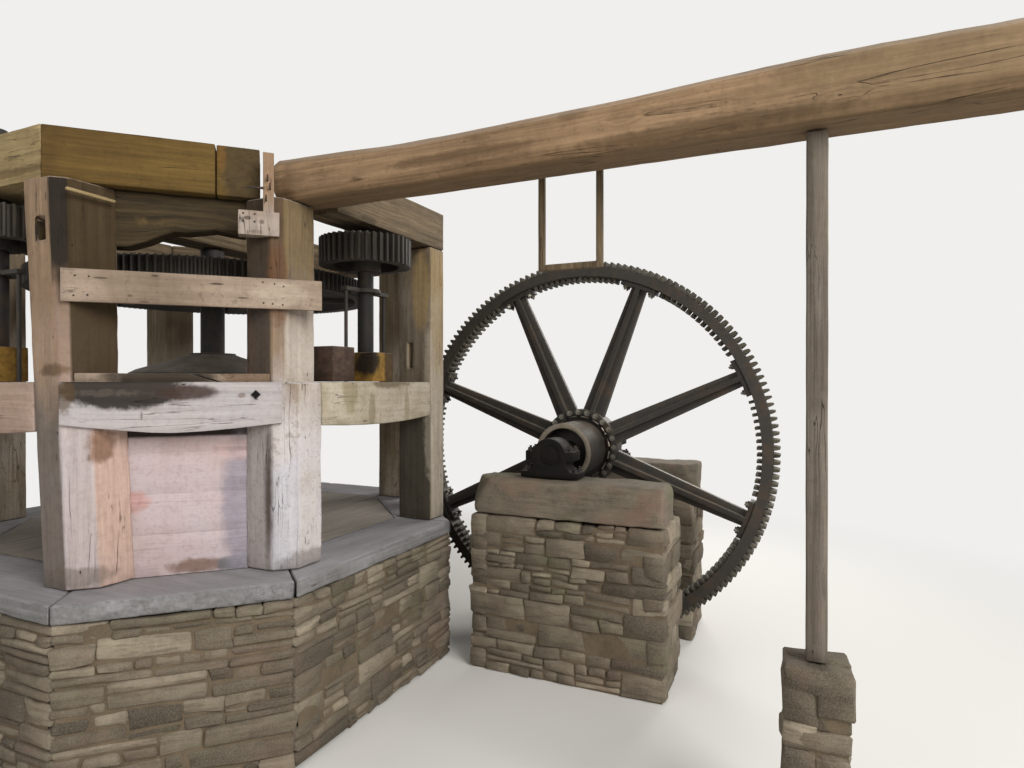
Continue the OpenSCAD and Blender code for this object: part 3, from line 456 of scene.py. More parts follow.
def castIron(name, look):
    # Old cast iron: a dark skin gone brown with rust, and pale flour dust on what faces up
    material, tree, shader, _ = newMaterial(name)
    place = addNode(tree, "ShaderNodeTexCoord")
    coarse = noiseAt(tree, place.outputs["Object"], 6, 8, 0.65)
    fine = noiseAt(tree, place.outputs["Object"], 95, 4)
    rusty = ramp(tree, coarse, [(0.62 - look["rust"] * 0.3, 0.0), (0.75 - look["rust"] * 0.2, 1.0)])
    colour = mix(tree, fine, look["dark"], look["pale"])
    colour = mix(tree, times(tree, rusty, 0.75), colour, look["rustTint"])
    up = heightOf(tree, place.outputs["Normal"])
    settled = times(tree, ramp(tree, up, [(0.25, 0.0), (0.95, 1.0)]), look["dust"])
    settled = times(tree, settled, ramp(tree, coarse, [(0.3, 0.35), (0.6, 1.0)]))
    colour = mix(tree, settled, colour, "#8A7E6E")
    wear = layerOf(tree, "wear")
    colour = mix(tree, times(tree, wear, look["edge"]), colour, "#6E665A")
    shader.inputs["Metallic"].default_value = look["metal"]
    relief = weighed(tree, (coarse, 0.6), (fine, 0.4))
    finishShader(tree, shader, colour, look["rough"], look.get("shine", 0.5), relief, 0.45, 0.003)
    return material


ironLooks = {
    "darkCastIron": {
        "dark": "#11100E", "pale": "#27231E", "rustTint": "#3B2B1D",
        "rust": 0.45, "dust": 0.50, "edge": 0.40, "metal": 0.25, "rough": 0.66},
    "wornIron": {
        "dark": "#4A463F", "pale": "#8C867B", "rustTint": "#5B4632",
        "rust": 0.25, "dust": 0.3, "edge": 0.5, "metal": 0.75, "rough": 0.42},
    "greasyIron": {
        "dark": "#070605", "pale": "#110E0B", "rustTint": "#1C150E",
        "rust": 0.25, "dust": 0.12, "edge": 0.12, "metal": 0.0, "rough": 0.60, "shine": 0.12},
    "rubbedIron": {
        "dark": "#5C5346", "pale": "#8D8272", "rustTint": "#66513B",
        "rust": 0.35, "dust": 0.1, "edge": 0.3, "metal": 0.25, "rough": 0.5},
    "nailIron": {
        "dark": "#14110E", "pale": "#2B241D", "rustTint": "#4A2F1C",
        "rust": 0.8, "dust": 0.1, "edge": 0.2, "metal": 0.2, "rough": 0.7},
}


def stone(name, look):
    # Hewn or split stone: mottled grains, with a tone of its own for each block
    material, tree, shader, _ = newMaterial(name)
    place = addNode(tree, "ShaderNodeTexCoord").outputs["Object"]
    tone = layerOf(tree, "tone")
    wear = layerOf(tree, "wear")
    coarse = noiseAt(tree, place, 4.5, 9, 0.72)
    beds = noiseAt(tree, stretched(tree, place, (4, 4, 38)), 1.0, 4)
    grit = noiseAt(tree, place, 130, 3, 0.8)
    colour = ramp(tree, tone, [(0.0, look["dark"]), (0.45, look["mid"]), (1.0, look["pale"])])
    colour = mix(tree, ramp(tree, coarse, [(0.42, 0.0), (0.72, 0.75)]), colour, look["stain"])
    bedded = times(tree, ramp(tree, beds, [(0.5, 0.0), (0.65, 1.0)]), look["beds"])
    colour = mix(tree, bedded, colour, look["stain"])
    colour = mix(tree, ramp(tree, grit, [(0.42, 0.0), (0.68, 0.28)]), colour, look["grit"])
    tinted = noiseAt(tree, place, 2.1, 6, 0.66)
    colour = mix(tree, ramp(tree, tinted, [(0.54, 0.0), (0.68, look["moss"])]), colour, "#6A6B4C")
    colour = mix(tree, ramp(tree, tinted, [(0.34, look["moss"]), (0.46, 0.0)]), colour, "#7E6556")
    colour = mix(tree, times(tree, wear, 0.3), colour, look["pale"])
    relief = weighed(tree, (coarse, 1.0), (grit, 0.22), (beds, look["beds"]))
    finishShader(tree, shader, colour, 0.93, 0.25, relief, 0.95, 0.014)
    return material


stoneLooks = {
    "granite": {
        "dark": "#453F33", "mid": "#645B4D", "pale": "#8B8170", "stain": "#3B352A", "grit": "#A79C8A",
        "beds": 0.45, "moss": 0.75},
    "rubbleStone": {
        "dark": "#423B31", "mid": "#6B6152", "pale": "#9A8E7A", "stain": "#3D342A", "grit": "#A99D89",
        "beds": 0.5, "moss": 0.35},
    "earthMortar": {
        "dark": "#5A4D3C", "mid": "#685A48", "pale": "#786A56", "stain": "#42382C", "grit": "#897B65",
        "beds": 0.0, "moss": 0.1},
}
finishes = {name: oak(name, look) for name, look in oakLooks.items()}
finishes.update({name: stone(name, look) for name, look in stoneLooks.items()})
finishes.update({name: castIron(name, look) for name, look in ironLooks.items()})

slotFinish = {
    "limewashed_timber": "limewashedOak", "weathered_timber": "weatheredOak", "ochre_timber": "ochreOak",
    "oiled_timber": "yellowBlock", "great_beam_timber": "greatBeamOak", "pink_limewash": "pinkLimewash",
    "dark_cast_iron": "darkCastIron", "granite": "granite", "rubble_stone": "rubbleStone",
    "cog_timber": "dryHornbeam",
}
nodeSlot = {s["node"]: s["material_slot"] for s in frame["record"]["subparts"]}
for name, piece in frame["nodes"].items():
    piece.data.materials.clear()
    piece.data.materials.append(finishes[slotFinish[nodeSlot[name]]])

bodyOf = {node: body for body, nodes in frame["record"]["behaviour"]["bodies"].items() for node in nodes}
xWay, yWay, zWay = Vector((1, 0, 0)), Vector((0, 1, 0)), Vector((0, 0, 1))


def titled(name, ending):
    # a node's name in one word, such as greatBeamHewn
    first, *rest = name.split("_")
    return first + "".join(word.capitalize() for word in rest) + ending


def nodeMesh(name):
    # a bmesh copy of a solid, with its doubles merged and its flat faces joined
    bm = bmesh.new()
    bm.from_mesh(frame["nodes"][name].data)
    bmesh.ops.remove_doubles(bm, verts=bm.verts, dist=0.00008)
    bmesh.ops.dissolve_limit(bm, angle_limit=math.radians(0.6), verts=bm.verts, edges=bm.edges)
    return bm


def islandsOf(bm):
    # the separate solids of a mesh, as lists of vertices
    left = set(bm.verts)
    groups = []
    while left:
        stack = [left.pop()]
        group = []
        while stack:
            vert = stack.pop()
            group.append(vert)
            for edge in vert.link_edges:
                other = edge.other_vert(vert)
                if other in left:
                    left.remove(other)
                    stack.append(other)
        groups.append(group)
    groups.sort(key=lambda g: tuple(round(math.fsum(v.co[i] for v in g) / len(g), 3) for i in (2, 0, 1)))
    return groups


def solidsOf(name):
    # each separate solid of a node in a mesh of its own
    whole = nodeMesh(name)
    groups = islandsOf(whole)
    if len(groups) == 1:
        return [whole]
    whole.verts.index_update()
    solids = []
    for keep in [{v.index for v in group} for group in groups]:
        one = whole.copy()
        one.verts.index_update()
        bmesh.ops.delete(one, geom=[v for v in one.verts if v.index not in keep], context="VERTS")
        solids.append(one)
    whole.free()
    return solids


def sharpEdges(bm, degrees=32):
    limit = math.radians(degrees)
    return [e for e in bm.edges if len(e.link_faces) == 2 and e.calc_face_angle(0.0) > limit]


def roundEdges(bm, offset, segments=2, degrees=32):
    edges = sharpEdges(bm, degrees)
    if edges:
        bmesh.ops.bevel(bm, geom=edges, offset=offset, offset_type="OFFSET", segments=segments, profile=0.5,
                        affect="EDGES", clamp_overlap=True, material=-1)


def endsOf(bm, axis):
    # where the mesh starts and stops along an axis
    along = [v.co.dot(axis) for v in bm.verts]
    return min(along), max(along)


def cutAt(bm, point, normal, drop=False):
    bmesh.ops.bisect_plane(bm, geom=bm.verts[:] + bm.edges[:] + bm.faces[:], dist=0.00005,
                           plane_co=point, plane_no=normal, clear_outer=drop)


def cutRows(bm, axis, step):
    # cuts the mesh by planes square to an axis, so that its faces can be worn
    low, high = endsOf(bm, axis)
    rows = max(1, round((high - low) / step))
    for k in range(1, rows):
        cutAt(bm, axis * (low + (high - low) * k / rows), axis)


def slicedBy(bm, *planes):
    # keeps what lies behind each plane and closes the cuts
    for point, normal in planes:
        cutAt(bm, point, normal, True)
        bmesh.ops.holes_fill(bm, edges=[e for e in bm.edges if e.is_boundary], sides=0)


def longAxis(bm):
    # the way that a timber runs
    best, longest = zWay, 0.0
    for axis in (zWay, xWay, yWay, (xWay + yWay).normalized(), (xWay - yWay).normalized()):
        low, high = endsOf(bm, axis)
        if high - low > longest * 1.02:
            best, longest = axis, high - low
    return best


def crossAxes(axis):
    # the two ways square to a timber's length
    side = zWay.cross(axis)
    side = side.normalized() if side.length > 0.1 else xWay
    return side, axis.cross(side)


def edgeNess(vert):
    # 0 on a flat face, up to 1 on a square arris
    if not vert.link_faces:
        return 0.0
    return min(1.0, 3.4 * (1 - min(face.normal.dot(vert.normal) for face in vert.link_faces)))


def wearIn(bm, face, edge, size, seed, chip=0.0):
    # moves the surface inwards: a little on the faces, more on the arrises
    bm.normal_update()
    shift = Vector((seed * 3.17, seed * 1.31, seed * 2.03))
    moves = []
    for vert in bm.verts:
        ness = edgeNess(vert)
        broad = 0.5 + 0.5 * noise.noise((vert.co + shift) / size)
        local = 0.5 + 0.5 * noise.noise((vert.co - shift) / (size * 0.35))
        depth = face * (0.65 * broad + 0.35 * local) + edge * ness * max(0.0, 1.5 * broad * local)
        if chip:
            broken = noise.noise(vert.co * 7 + shift) + 0.5 * noise.noise(vert.co * 15 - shift)
            depth += chip * ness * min(1.0, max(0.0, (broken - 0.12) * 3.5))
        moves.append((vert, vert.normal * depth))
    for vert, move in moves:
        vert.co -= move


def markGrain(bm, axis, seed, tone):
    # fibre coordinates, arris wear and a tone of its own for one piece of wood
    grain = bm.verts.layers.float_vector.new("grain")
    wear = bm.verts.layers.float.new("wear")
    tones = bm.verts.layers.float.new("tone")
    side, up = crossAxes(axis)
    bm.normal_update()
    for vert in bm.verts:
        vert[grain] = (vert.co.dot(axis) + seed * 1.7, vert.co.dot(side) + seed * 0.9,
                       vert.co.dot(up) + seed * 2.3)
        vert[wear] = edgeNess(vert)
        vert[tones] = tone


def markWear(bm, tone=None):
    # arris wear for a casting or a stone, and the stone's tone
    wear = bm.verts.layers.float.new("wear")
    tones = bm.verts.layers.float.new("tone") if tone else None
    bm.normal_update()
    for vert in bm.verts:
        vert[wear] = edgeNess(vert)
        if tone:
            vert[tones] = tone


def makePiece(name, bm, looks, body, nodes=(), smooth=38):
    # a finished object from a mesh, riding on its body
    bmesh.ops.recalc_face_normals(bm, faces=bm.faces)
    limit = math.radians(smooth)
    for face in bm.faces:
        face.smooth = True
    for edge in bm.edges:
        edge.smooth = not (len(edge.link_faces) != 2 or edge.calc_face_angle(0.0) > limit)
    mesh = bpy.data.meshes.new(name)
    bm.to_mesh(mesh)
    bm.free()
    for look in looks:
        mesh.materials.append(look)
    piece = bpy.data.objects.new(name, mesh)
    bpy.context.scene.collection.objects.link(piece)
    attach(piece, body)
    if nodes:
        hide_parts(*nodes)
    return piece


def joined(parts):
    # several meshes as one, with their layers kept
    whole = bmesh.new()
    for part in parts:
        mesh = bpy.data.meshes.new("part")
        part.to_mesh(mesh)
        part.free()
        whole.from_mesh(mesh)
        bpy.data.meshes.remove(mesh)
    return whole


print("stage: hewn timbers")

hewing = {
    "step": 0.085,             # spacing of the cuts that let a face be worn
    "roundMm": 14,             # rounding of an arris
    "faceMm": 5,               # unevenness of a hewn face
    "edgeMm": 13,              # loss along an arris
    "wave": 0.30,              # length of the unevenness, in metres
}
frontOut = 2.06                # outer plane of the front posts, from the frame's middle
headOut = 1.955                # outer face of the front head beam
bridgeOut = 2.075              # face of the front bridge beam
panelOut = 1.90                # face of the boarded panel
outward = Vector((math.sqrt(0.5), -math.sqrt(0.5), 0))         # out of the front bay
sideways = Vector((math.sqrt(0.5), math.sqrt(0.5), 0))         # across it, to the right
facingX, facingY, facingDown = (1, 0, 0), (0, -1, 0), (0, 0, -1)
# tints by the way a face looks and between two heights; those marked painted shade darken faces that lie in shadow
facingTintsAndShade = {
    "front_left_post": [
        faceTintAndShade(facingY, 2.0, 4.0, "#8F775D", 0.70),
        # painted shadow: the lower part of the left face, dark as if shaded by a board leaning on it
        faceTintAndShade(facingY, 1.0, 2.4, "#665F58", 0.85, ragged=1.0, soft=0.2),
        # painted shade: the chamfer above the rail, near black where it lies in shadow
        faceTintAndShade(outward, 3.08, 4.0, "#15110A", 0.95, ragged=0.1, soft=0.03),
        faceTintAndShade(outward, 2.50, 3.10, "#7D6754", 0.7),
        faceTintAndShade(outward, 1.0, 2.25, "#B3ACAD", 0.6),
        # painted shade: the right face above the rail, dark brown where it lies in shadow
        faceTintAndShade(facingX, 2.40, 4.0, "#382B14", 0.93, ragged=0.25, soft=0.05),
        faceTintAndShade(facingX, 1.0, 2.20, "#C3A697", 0.75),
    ],
    "front_right_post": [
        # painted shade: the left face above the rail, dark brown where it lies in shadow
        faceTintAndShade(facingY, 2.40, 4.0, "#382B1C", 0.94, ragged=0.3),
        faceTintAndShade(facingY, 1.0, 2.30, "#6E6560", 0.5),
        faceTintAndShade(outward, 3.05, 4.0, "#54402A", 0.90, ragged=0.5),
        faceTintAndShade(outward, 2.48, 3.06, "#7D664C", 0.85, ragged=0.8, soft=0.16),
        faceTintAndShade(outward, 1.0, 2.0, "#BDBCC6", 0.45),
        faceTintAndShade(facingX, 2.85, 4.0, "#6C5939", 0.88, ragged=0.8, soft=0.2),
        faceTintAndShade(facingX, 2.35, 2.90, "#A59682", 0.55, ragged=0.8, soft=0.2),
    ],
    "right_rear_post": [
        # painted shade: the left face, darker still below the bridge beam, where it lies in shadow
        faceTintAndShade(facingY, 1.0, 4.0, "#5F5342", 0.60, ragged=0.5),
        faceTintAndShade(facingY, 1.0, 2.22, "#37342B", 0.80, ragged=0.2),
        faceTintAndShade(facingX, 1.0, 2.7, "#A79D8E", 0.60, ragged=0.9, soft=0.2),
        faceTintAndShade(facingX, 2.6, 4.0, "#9A8258", 0.50, ragged=0.8, soft=0.3),
    ],
    "great_beam": [
        # painted shade: the underside made darker, as shade under the beam
        faceTintAndShade(facingDown, 3.0, 5.0, "#5E4C36", 0.65),
    ],
    "front_bridge_beam": [
        faceTintAndShade(outward, 1.0, 2.8, "#A39C9B", 0.70),
    ],
    "front_panel": [
        # painted shadow: a near black band at the panel's top, for the shaded gap under the bridge beam
        faceTintAndShade(outward, 2.138, 2.60, "#1B140F", 0.96, ragged=0.03, soft=0.008),
    ],
    "corbel_block": [
        faceTintAndShade(outward, 3.44, 3.70, "#A2968D", 0.65),
        faceTintAndShade(outward, 3.72, 4.3, "#8A6A4A", 0.60, ragged=0.6),
    ],
    "left_bridge_beam": [
        faceTintAndShade(facingY, 2.0, 2.6, "#A8917F", 0.7),
    ],
}
stainsAndShade = {
    "front_left_post": [
        stain((1.09, -1.76, 2.10), (0.12, 0.10, 0.15), "#7C5D49", 0.85),
        stain((0.90, -1.90, 2.57), (0.13, 0.30, 0.05), "#5C4630", 0.75, spread=1.4),
        stain((1.04, -1.90, 1.30), (0.30, 0.30, 0.08), "#6D6157", 0.6),
    ],
    "front_right_post": [
        stain((1.86, -1.06, 3.15), (0.10, 0.10, 0.34), "#5F4029", 0.7),
        stain((1.62, -1.09, 2.70), (0.07, 0.12, 0.40), "#5C4738", 0.45),
        stain((1.95, -0.86, 1.26), (0.3, 0.3, 0.10), "#6B6259", 0.6),
        # painted shadow: a thin dark strip down the post's side beside the panel's recess
        stain((1.80, -1.09, 1.72), (0.055, 0.04, 0.75), "#3B2C20", 0.85, spread=0.5, soft=0.9),
    ],
    "right_rear_post": [
        stain((1.95, 0.73, 2.30), (0.10, 0.12, 0.90), "#B3A795", 0.5),
        stain((1.84, 0.73, 3.35), (0.12, 0.10, 0.46), "#A0875C", 0.75, spread=0.5),
        stain((1.91, 0.906, 3.45), (0.06, 0.042, 0.085), "#6A4B2C", 0.85, spread=0.3),
        stain((1.91, 0.906, 3.45), (0.06, 0.024, 0.050), "#A98F66", 0.85, spread=0.3),
    ],
    "front_bridge_beam": [
        bayStain((2.09, -0.34, 2.46), (0.2, 0.42, 0.150), "#2A231D", 0.96, ragged=15, spread=0.6, soft=0.28),
        bayStain((2.09, 0.02, 2.430), (0.2, 0.23, 0.060), "#40302A", 0.92, spread=0.6),
        bayStain((2.09, -0.42, 2.43), (0.2, 0.30, 0.030), "#5D544B", 0.55, ragged=26, spread=2.2, soft=0.8),
        bayStain((2.09, -0.645, 2.41), (0.2, 0.06, 0.13), "#56432C", 0.70, spread=1.4),
        bayStain((2.09, 0.34, 2.41), (0.1, 0.030, 0.022), "#6E574B", 0.6),
        bayStain((2.09, -0.24, 2.29), (0.1, 0.008, 0.040), "#6E655F", 0.7),
    ],
    "right_bridge_beam": [
        stain((1.96, 0.10, 2.50), (0.1, 0.34, 0.07), "#5B4B30", 0.75),
        stain((1.96, -0.42, 2.42), (0.1, 0.12, 0.20), "#7E7250", 0.6),
        stain((1.96, 0.34, 2.25), (0.1, 0.04, 0.26), "#7C7150", 0.5),
        stain((1.96, -0.15, 2.26), (0.1, 0.05, 0.20), "#75684A", 0.55),
    ],
    "front_panel": [
        bayStain((1.90, 0.06, 1.27), (0.1, 0.22, 0.06), "#7F6455", 0.85),
        bayStain((1.90, 0.30, 1.27), (0.1, 0.16, 0.07), "#62676B", 0.75),
        bayStain((1.90, 0.34, 1.65), (0.1, 0.17, 0.62), "#8C858E", 0.80, spread=0.5),
        bayStain((1.90, -0.33, 1.72), (0.1, 0.14, 0.09), "#B8897F", 0.7),
        bayStain((1.90, 0.30, 2.04), (0.1, 0.20, 0.09), "#B79A92", 0.5),
    ],
    "great_beam": [
        stain((3.2, -0.97, 3.86), (0.7, 0.1, 0.05), "#5B4630", 0.6),
        stain((4.6, -0.97, 3.80), (0.9, 0.1, 0.05), "#56432E", 0.65),
        stain((1.75, -0.97, 3.80), (0.16, 0.1, 0.14), "#6A5035", 0.6),
        stain((2.3, -0.97, 4.13), (0.8, 0.2, 0.05), "#4D3B29", 0.6),
        stain((3.9, -0.97, 4.02), (0.14, 0.1, 0.10), "#5C4732", 0.5),
        stain((5.6, -0.97, 4.00), (1.0, 0.4, 0.5), "#6B5B42", 0.55, spread=1.2, soft=0.8),
    ],
    "front_head_beam": [
        bayStain((headOut, -0.25, 4.12), (0.2, 0.62, 0.06), "#4A3517", 0.7),
        bayStain((headOut, 0.36, 3.95), (0.2, 0.20, 0.40), "#443723", 0.85, spread=0.5),
        bayStain((headOut, 0.21, 4.00), (0.1, 0.04, 0.12), "#6E4C22", 0.5),
    ],
    "left_head_beam": [
        stain((0.3, -1.95, 3.82), (1.2, 0.1, 0.035), "#5A482C", 0.6),
    ],
    "crooked_timber": [
        bayStain((1.93, -0.22, 3.57), (0.1, 0.22, 0.07), "#6E5833", 0.7, spread=1.8, soft=0.8),
    ],
    "front_boards": [
        bayStain((2.10, 0.58, 3.08), (0.1, 0.2, 0.1), "#B5A692", 0.45),
        bayStain((2.10, -0.2, 2.98), (0.1, 0.5, 0.03), "#7B6654", 0.5),
        bayStain((2.11, -0.455, 3.137), (0.1, 0.055, 0.009), "#463A30", 0.8),
        bayStain((2.11, -0.163, 3.166), (0.1, 0.026, 0.008), "#3F342B", 0.85),
        bayStain((2.11, 0.19, 3.134), (0.1, 0.060, 0.010), "#43382E", 0.85),
        bayStain((2.11, -0.30, 3.034), (0.1, 0.020, 0.012), "#5B4A3C", 0.7),
        bayStain((2.11, 0.35, 3.050), (0.1, 0.045, 0.008), "#54453A", 0.7),
        bayStain((2.00, -0.12, 2.53), (0.3, 0.40, 0.12), "#2D261D", 0.93, spread=0.6),
        bayStain((2.00, 0.38, 2.53), (0.3, 0.22, 0.12), "#6E5844", 0.8),
    ],
    "spindle_blocks": [
        stain((1.93, -0.18, 2.66), (0.25, 0.16, 0.16), "#14110C", 0.95, spread=0.6),
        stain((1.80, 0.05, 2.69), (0.10, 0.10, 0.10), "#14110C", 0.9, spread=0.6),
        stain((2.00, 0.095, 2.62), (0.25, 0.105, 0.40), "#3A2A1A", 0.85, spread=0.5),
    ],
    "corbel_block": [
        bayStain((2.10, 0.378, 3.582), (0.1, 0.030, 0.016), "#4A3D32", 0.8),
        bayStain((2.10, 0.464, 3.563), (0.1, 0.022, 0.020), "#4F4238", 0.7),
        bayStain((2.10, 0.427, 3.493), (0.1, 0.060, 0.018), "#6D5F52", 0.6),
    ],
}
timbers = {
    "front_left_post": {"look": "pinkPost", "washTop": 2.9, "chip": 0.022, "step": 0.7},
    "front_right_post": {"look": "whitePost", "washTop": 3.25, "chip": 0.022, "step": 0.7},
    "right_rear_post": {"look": "limewashedOak", "washTop": 3.4},
    "rear_posts": {"look": "limewashedOak", "washTop": 2.9},
    "front_bridge_beam": {"look": "whitePost"},
    "right_bridge_beam": {"look": "dampLimewash"},
    "left_bridge_beam": {"look": "pinkPost"},
    "rear_bridge_beams": {"look": "limewashedOak"},
    "front_head_beam": {"look": "ochreOak", "face": 0.8, "round": 0.5},
    "left_head_beam": {"look": "creamOak", "face": 0.8},
    "right_head_beam": {"look": "weatheredOak"},
    "rear_head_beams": {"look": "weatheredOak"},
    "crooked_timber": {"look": "darkHewnOak", "round": 2.6, "face": 4.0, "edge": 2.2, "wave": 0.9},
    "corbel_block": {"look": "railOak", "round": 0.4, "face": 0.6, "edge": 0.4},
    "front_boards": {"look": "railOak", "round": 0.35, "face": 0.7, "edge": 0.5},
    "front_panel": {"look": "pinkLimewash", "round": 0.12, "face": 0.4, "edge": 0.2},
    "great_beam": {"look": "greatBeamOak", "round": 1.3, "face": 3.4, "edge": 1.6, "wave": 1.6, "chip": 0.03},
    "beam_prop": {"look": "propOak", "round": 0.7},
    "hanging_cradle": {"look": "weatheredOak", "round": 0.3, "face": 0.3, "edge": 0.25},
    "shaft_head_beam": {"look": "weatheredOak"},
    "sills_square": {"look": "kerbOak", "round": 1.0, "face": 1.6, "edge": 1.4, "chip": 0.055, "step": 0.55},
    "sills_corner": {"look": "kerbOak", "round": 1.0, "face": 1.6, "edge": 1.4, "chip": 0.055, "step": 0.55},
    "spindle_blocks": {"look": "yellowBlock", "round": 0.6, "face": 0.6, "edge": 0.6},
}
# the left front post stands out of plumb, and its left side more than its right
lean = {"foot": 0.05, "steady": 2.35, "topLeft": -0.055, "topRight": -0.008, "left": -0.86, "right": -0.36}
# how far the great beam's front edge lies below its highest line, from end to end
beamTop = [(1.70, 0.030), (2.85, 0.090), (4.07, 0.060), (5.15, 0.0), (5.85, 0.010), (6.20, 0.020)]
# how far the undersides of the crooked timber and of the front bridge beam rise, across the bay
crookRise = [(-0.40, 0.0), (-0.28, 0.01), (-0.09, 0.080), (0.02, 0.062), (0.17, 0.070), (0.24, 0.03),
             (0.34, -0.035)]
bridgeRise = [(-0.68, 0.045), (-0.11, 0.018), (0.49, 0.028)]
shaping = {
    "headJoint": 0.175,        # where the front head beam is sawn through, across the bay
    "headGap": 0.004,
    "headBack": 0.012,         # how far its right piece stands back
    "crookBack": 0.065,        # how far the crooked timber stands back
    "panelOut": 0.016,         # what the panel's boards gain at each end
    "boardUp": 0.007,          # and at their top edges
    "topBoardUp": 0.060,
    "boardBack": 0.0015,       # how far every second board stands back
    "plankDown": 0.005,
    "plankSplit": 0.12,        # where the plank is split, across the bay
    "plankGap": 0.006,
    "plankSlant": 3.0,
    "beamEdge": 0.17,          # depth of the great beam's front edge that falls
    "beamSide": 0.18,
}


def between(stops, x):
    # straight-line value between listed points
    for (x0, d0), (x1, d1) in zip(stops, stops[1:]):
        if x <= x1:
            return d0 + (d1 - d0) * max(0.0, (x - x0) / (x1 - x0))
    return stops[-1][1]


def hewSolid(bm, seed, look, tone):
    axis = longAxis(bm)
    roundEdges(bm, hewing["roundMm"] / 1000 * look.get("round", 1.0), 2, 25)
    step = hewing["step"] * look.get("step", 1.0)
    cutRows(bm, axis, step)
    for other in crossAxes(axis):
        cutRows(bm, other, step * 1.1)
    face = hewing["faceMm"] / 1000 * look.get("face", 1.0)
    edge = hewing["edgeMm"] / 1000 * look.get("edge", 1.0)
    wearIn(bm, face, edge, hewing["wave"] * look.get("wave", 1.0), seed, look.get("chip", 0.0))
    markGrain(bm, axis, seed, tone)


def acrossBay(point):
    # where a point lies from the middle of the front bay, positive to the right
    return (point.x + point.y) * math.sqrt(0.5)


def leanOver(bm, low, high):
    # shifts the left front post sideways: one way at the foot, the other way at the top
    for vert in bm.verts:
        rise = vert.co.z - lean["steady"]
        part = -rise / (lean["steady"] - low) if rise < 0 else rise / (high - lean["steady"])
        side = min(1.0, max(0.0, (acrossBay(vert.co) - lean["left"]) / (lean["right"] - lean["left"])))
        top = lean["topLeft"] + (lean["topRight"] - lean["topLeft"]) * side
        vert.co += sideways * (part * (lean["foot"] if rise < 0 else top))


def cutAcross(bm, place, gap, slope=0.0):
    # saws a piece of the front bay in two, square to the bay or at a slant
    side = Vector((math.sqrt(0.5), math.sqrt(0.5), slope)).normalized()
    point = bayPoint(headOut, place, sum(endsOf(bm, zWay)) / 2)
    left, right = bm, bm.copy()
    slicedBy(left, (point - side * gap / 2, side))
    slicedBy(right, (point + side * gap / 2, -side))
    return left, right


def shapeTimber(name, solids):
    # the crooked and split timbers, before their faces are hewn
    if name == "front_left_post":
        low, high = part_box(name)
        leanOver(solids[0], low.z, high.z)
    elif name == "front_head_beam":
        left, right = cutAcross(solids[0], shaping["headJoint"], shaping["headGap"])
        bmesh.ops.translate(right, verts=right.verts, vec=outward * -shaping["headBack"])
        solids[:] = [left, right]
    elif name == "crooked_timber":
        bmesh.ops.translate(solids[0], verts=solids[0].verts, vec=outward * -shaping["crookBack"])
    elif name == "front_panel":
        for k, bm in enumerate(solids):
            top = endsOf(bm, zWay)[1]
            for vert in bm.verts:
                vert.co += sideways * math.copysign(shaping["panelOut"], acrossBay(vert.co))
                if vert.co.z > top - 0.001:
                    vert.co.z += shaping["boardUp"] if k < len(solids) - 1 else shaping["topBoardUp"]
                vert.co -= outward * shaping["boardBack"] * (k % 2)
    elif name == "front_boards":
        plank, rail = solids
        bmesh.ops.translate(plank, verts=plank.verts, vec=(0, 0, -shaping["plankDown"]))
        left, right = cutAcross(plank, shaping["plankSplit"], shaping["plankGap"], shaping["plankSlant"])
        solids[:] = [left, right, rail]


def bendEdges(name, bm):
    # the hewn edges that aren't straight: the great beam's upper front and two undersides
    low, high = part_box(name)
    if name == "great_beam":
        foot = high.z - shaping["beamEdge"]
        for vert in bm.verts:
            if vert.co.z > foot:
                front = max(0.0, min(1.0, ((low.y + high.y) / 2 - vert.co.y) / shaping["beamSide"]))
                rise = (vert.co.z - foot) / shaping["beamEdge"]
                vert.co.z -= between(beamTop, vert.co.x) * front * rise
    elif name in ("crooked_timber", "front_bridge_beam"):
        rise = crookRise if name == "crooked_timber" else bridgeRise
        for vert in bm.verts:
            under = max(0.0, 1.0 - (vert.co.z - low.z) / ((high.z - low.z) * 0.8))
            vert.co.z += between(rise, acrossBay(vert.co)) * under


def hewTimbers():
    rng = random.Random(11)
    for count, (name, look) in enumerate(timbers.items()):
        solids = solidsOf(name)
        shapeTimber(name, solids)
        for k, bm in enumerate(solids):
            hewSolid(bm, 3.0 + count * 1.9 + k * 0.83, look, rng.uniform(0.2, 0.8))
            bendEdges(name, bm)
        if look.get("washTop") or name in stainsAndShade or name in facingTintsAndShade:
            looks = [oak(name + "Oak", oakLooks[look["look"]], stainsAndShade.get(name, ()), facingTintsAndShade.get(name, ()),
                         look.get("washTop"))]
        else:
            looks = [finishes[look["look"]]]
        if name == "spindle_blocks":
            # the box beside each bearing block is of a redder wood
            looks.append(finishes["redBlock"])
            for k, bm in enumerate(solids):
                middle = sum((v.co for v in bm.verts), Vector()) / len(bm.verts)
                beside = middle.y if abs(middle.x) > abs(middle.y) else middle.x
                if beside < -0.12:
                    for face in bm.faces:
                        face.material_index = 1
        makePiece(titled(name, "Hewn"), joined(solids), looks, "frame", [name])


hewTimbers()

print("stage: deck boards")

deck = {
    "boardW": 0.205,
    "gap": 0.006,
    "thick": 0.040,
    "sag": 0.004,
}


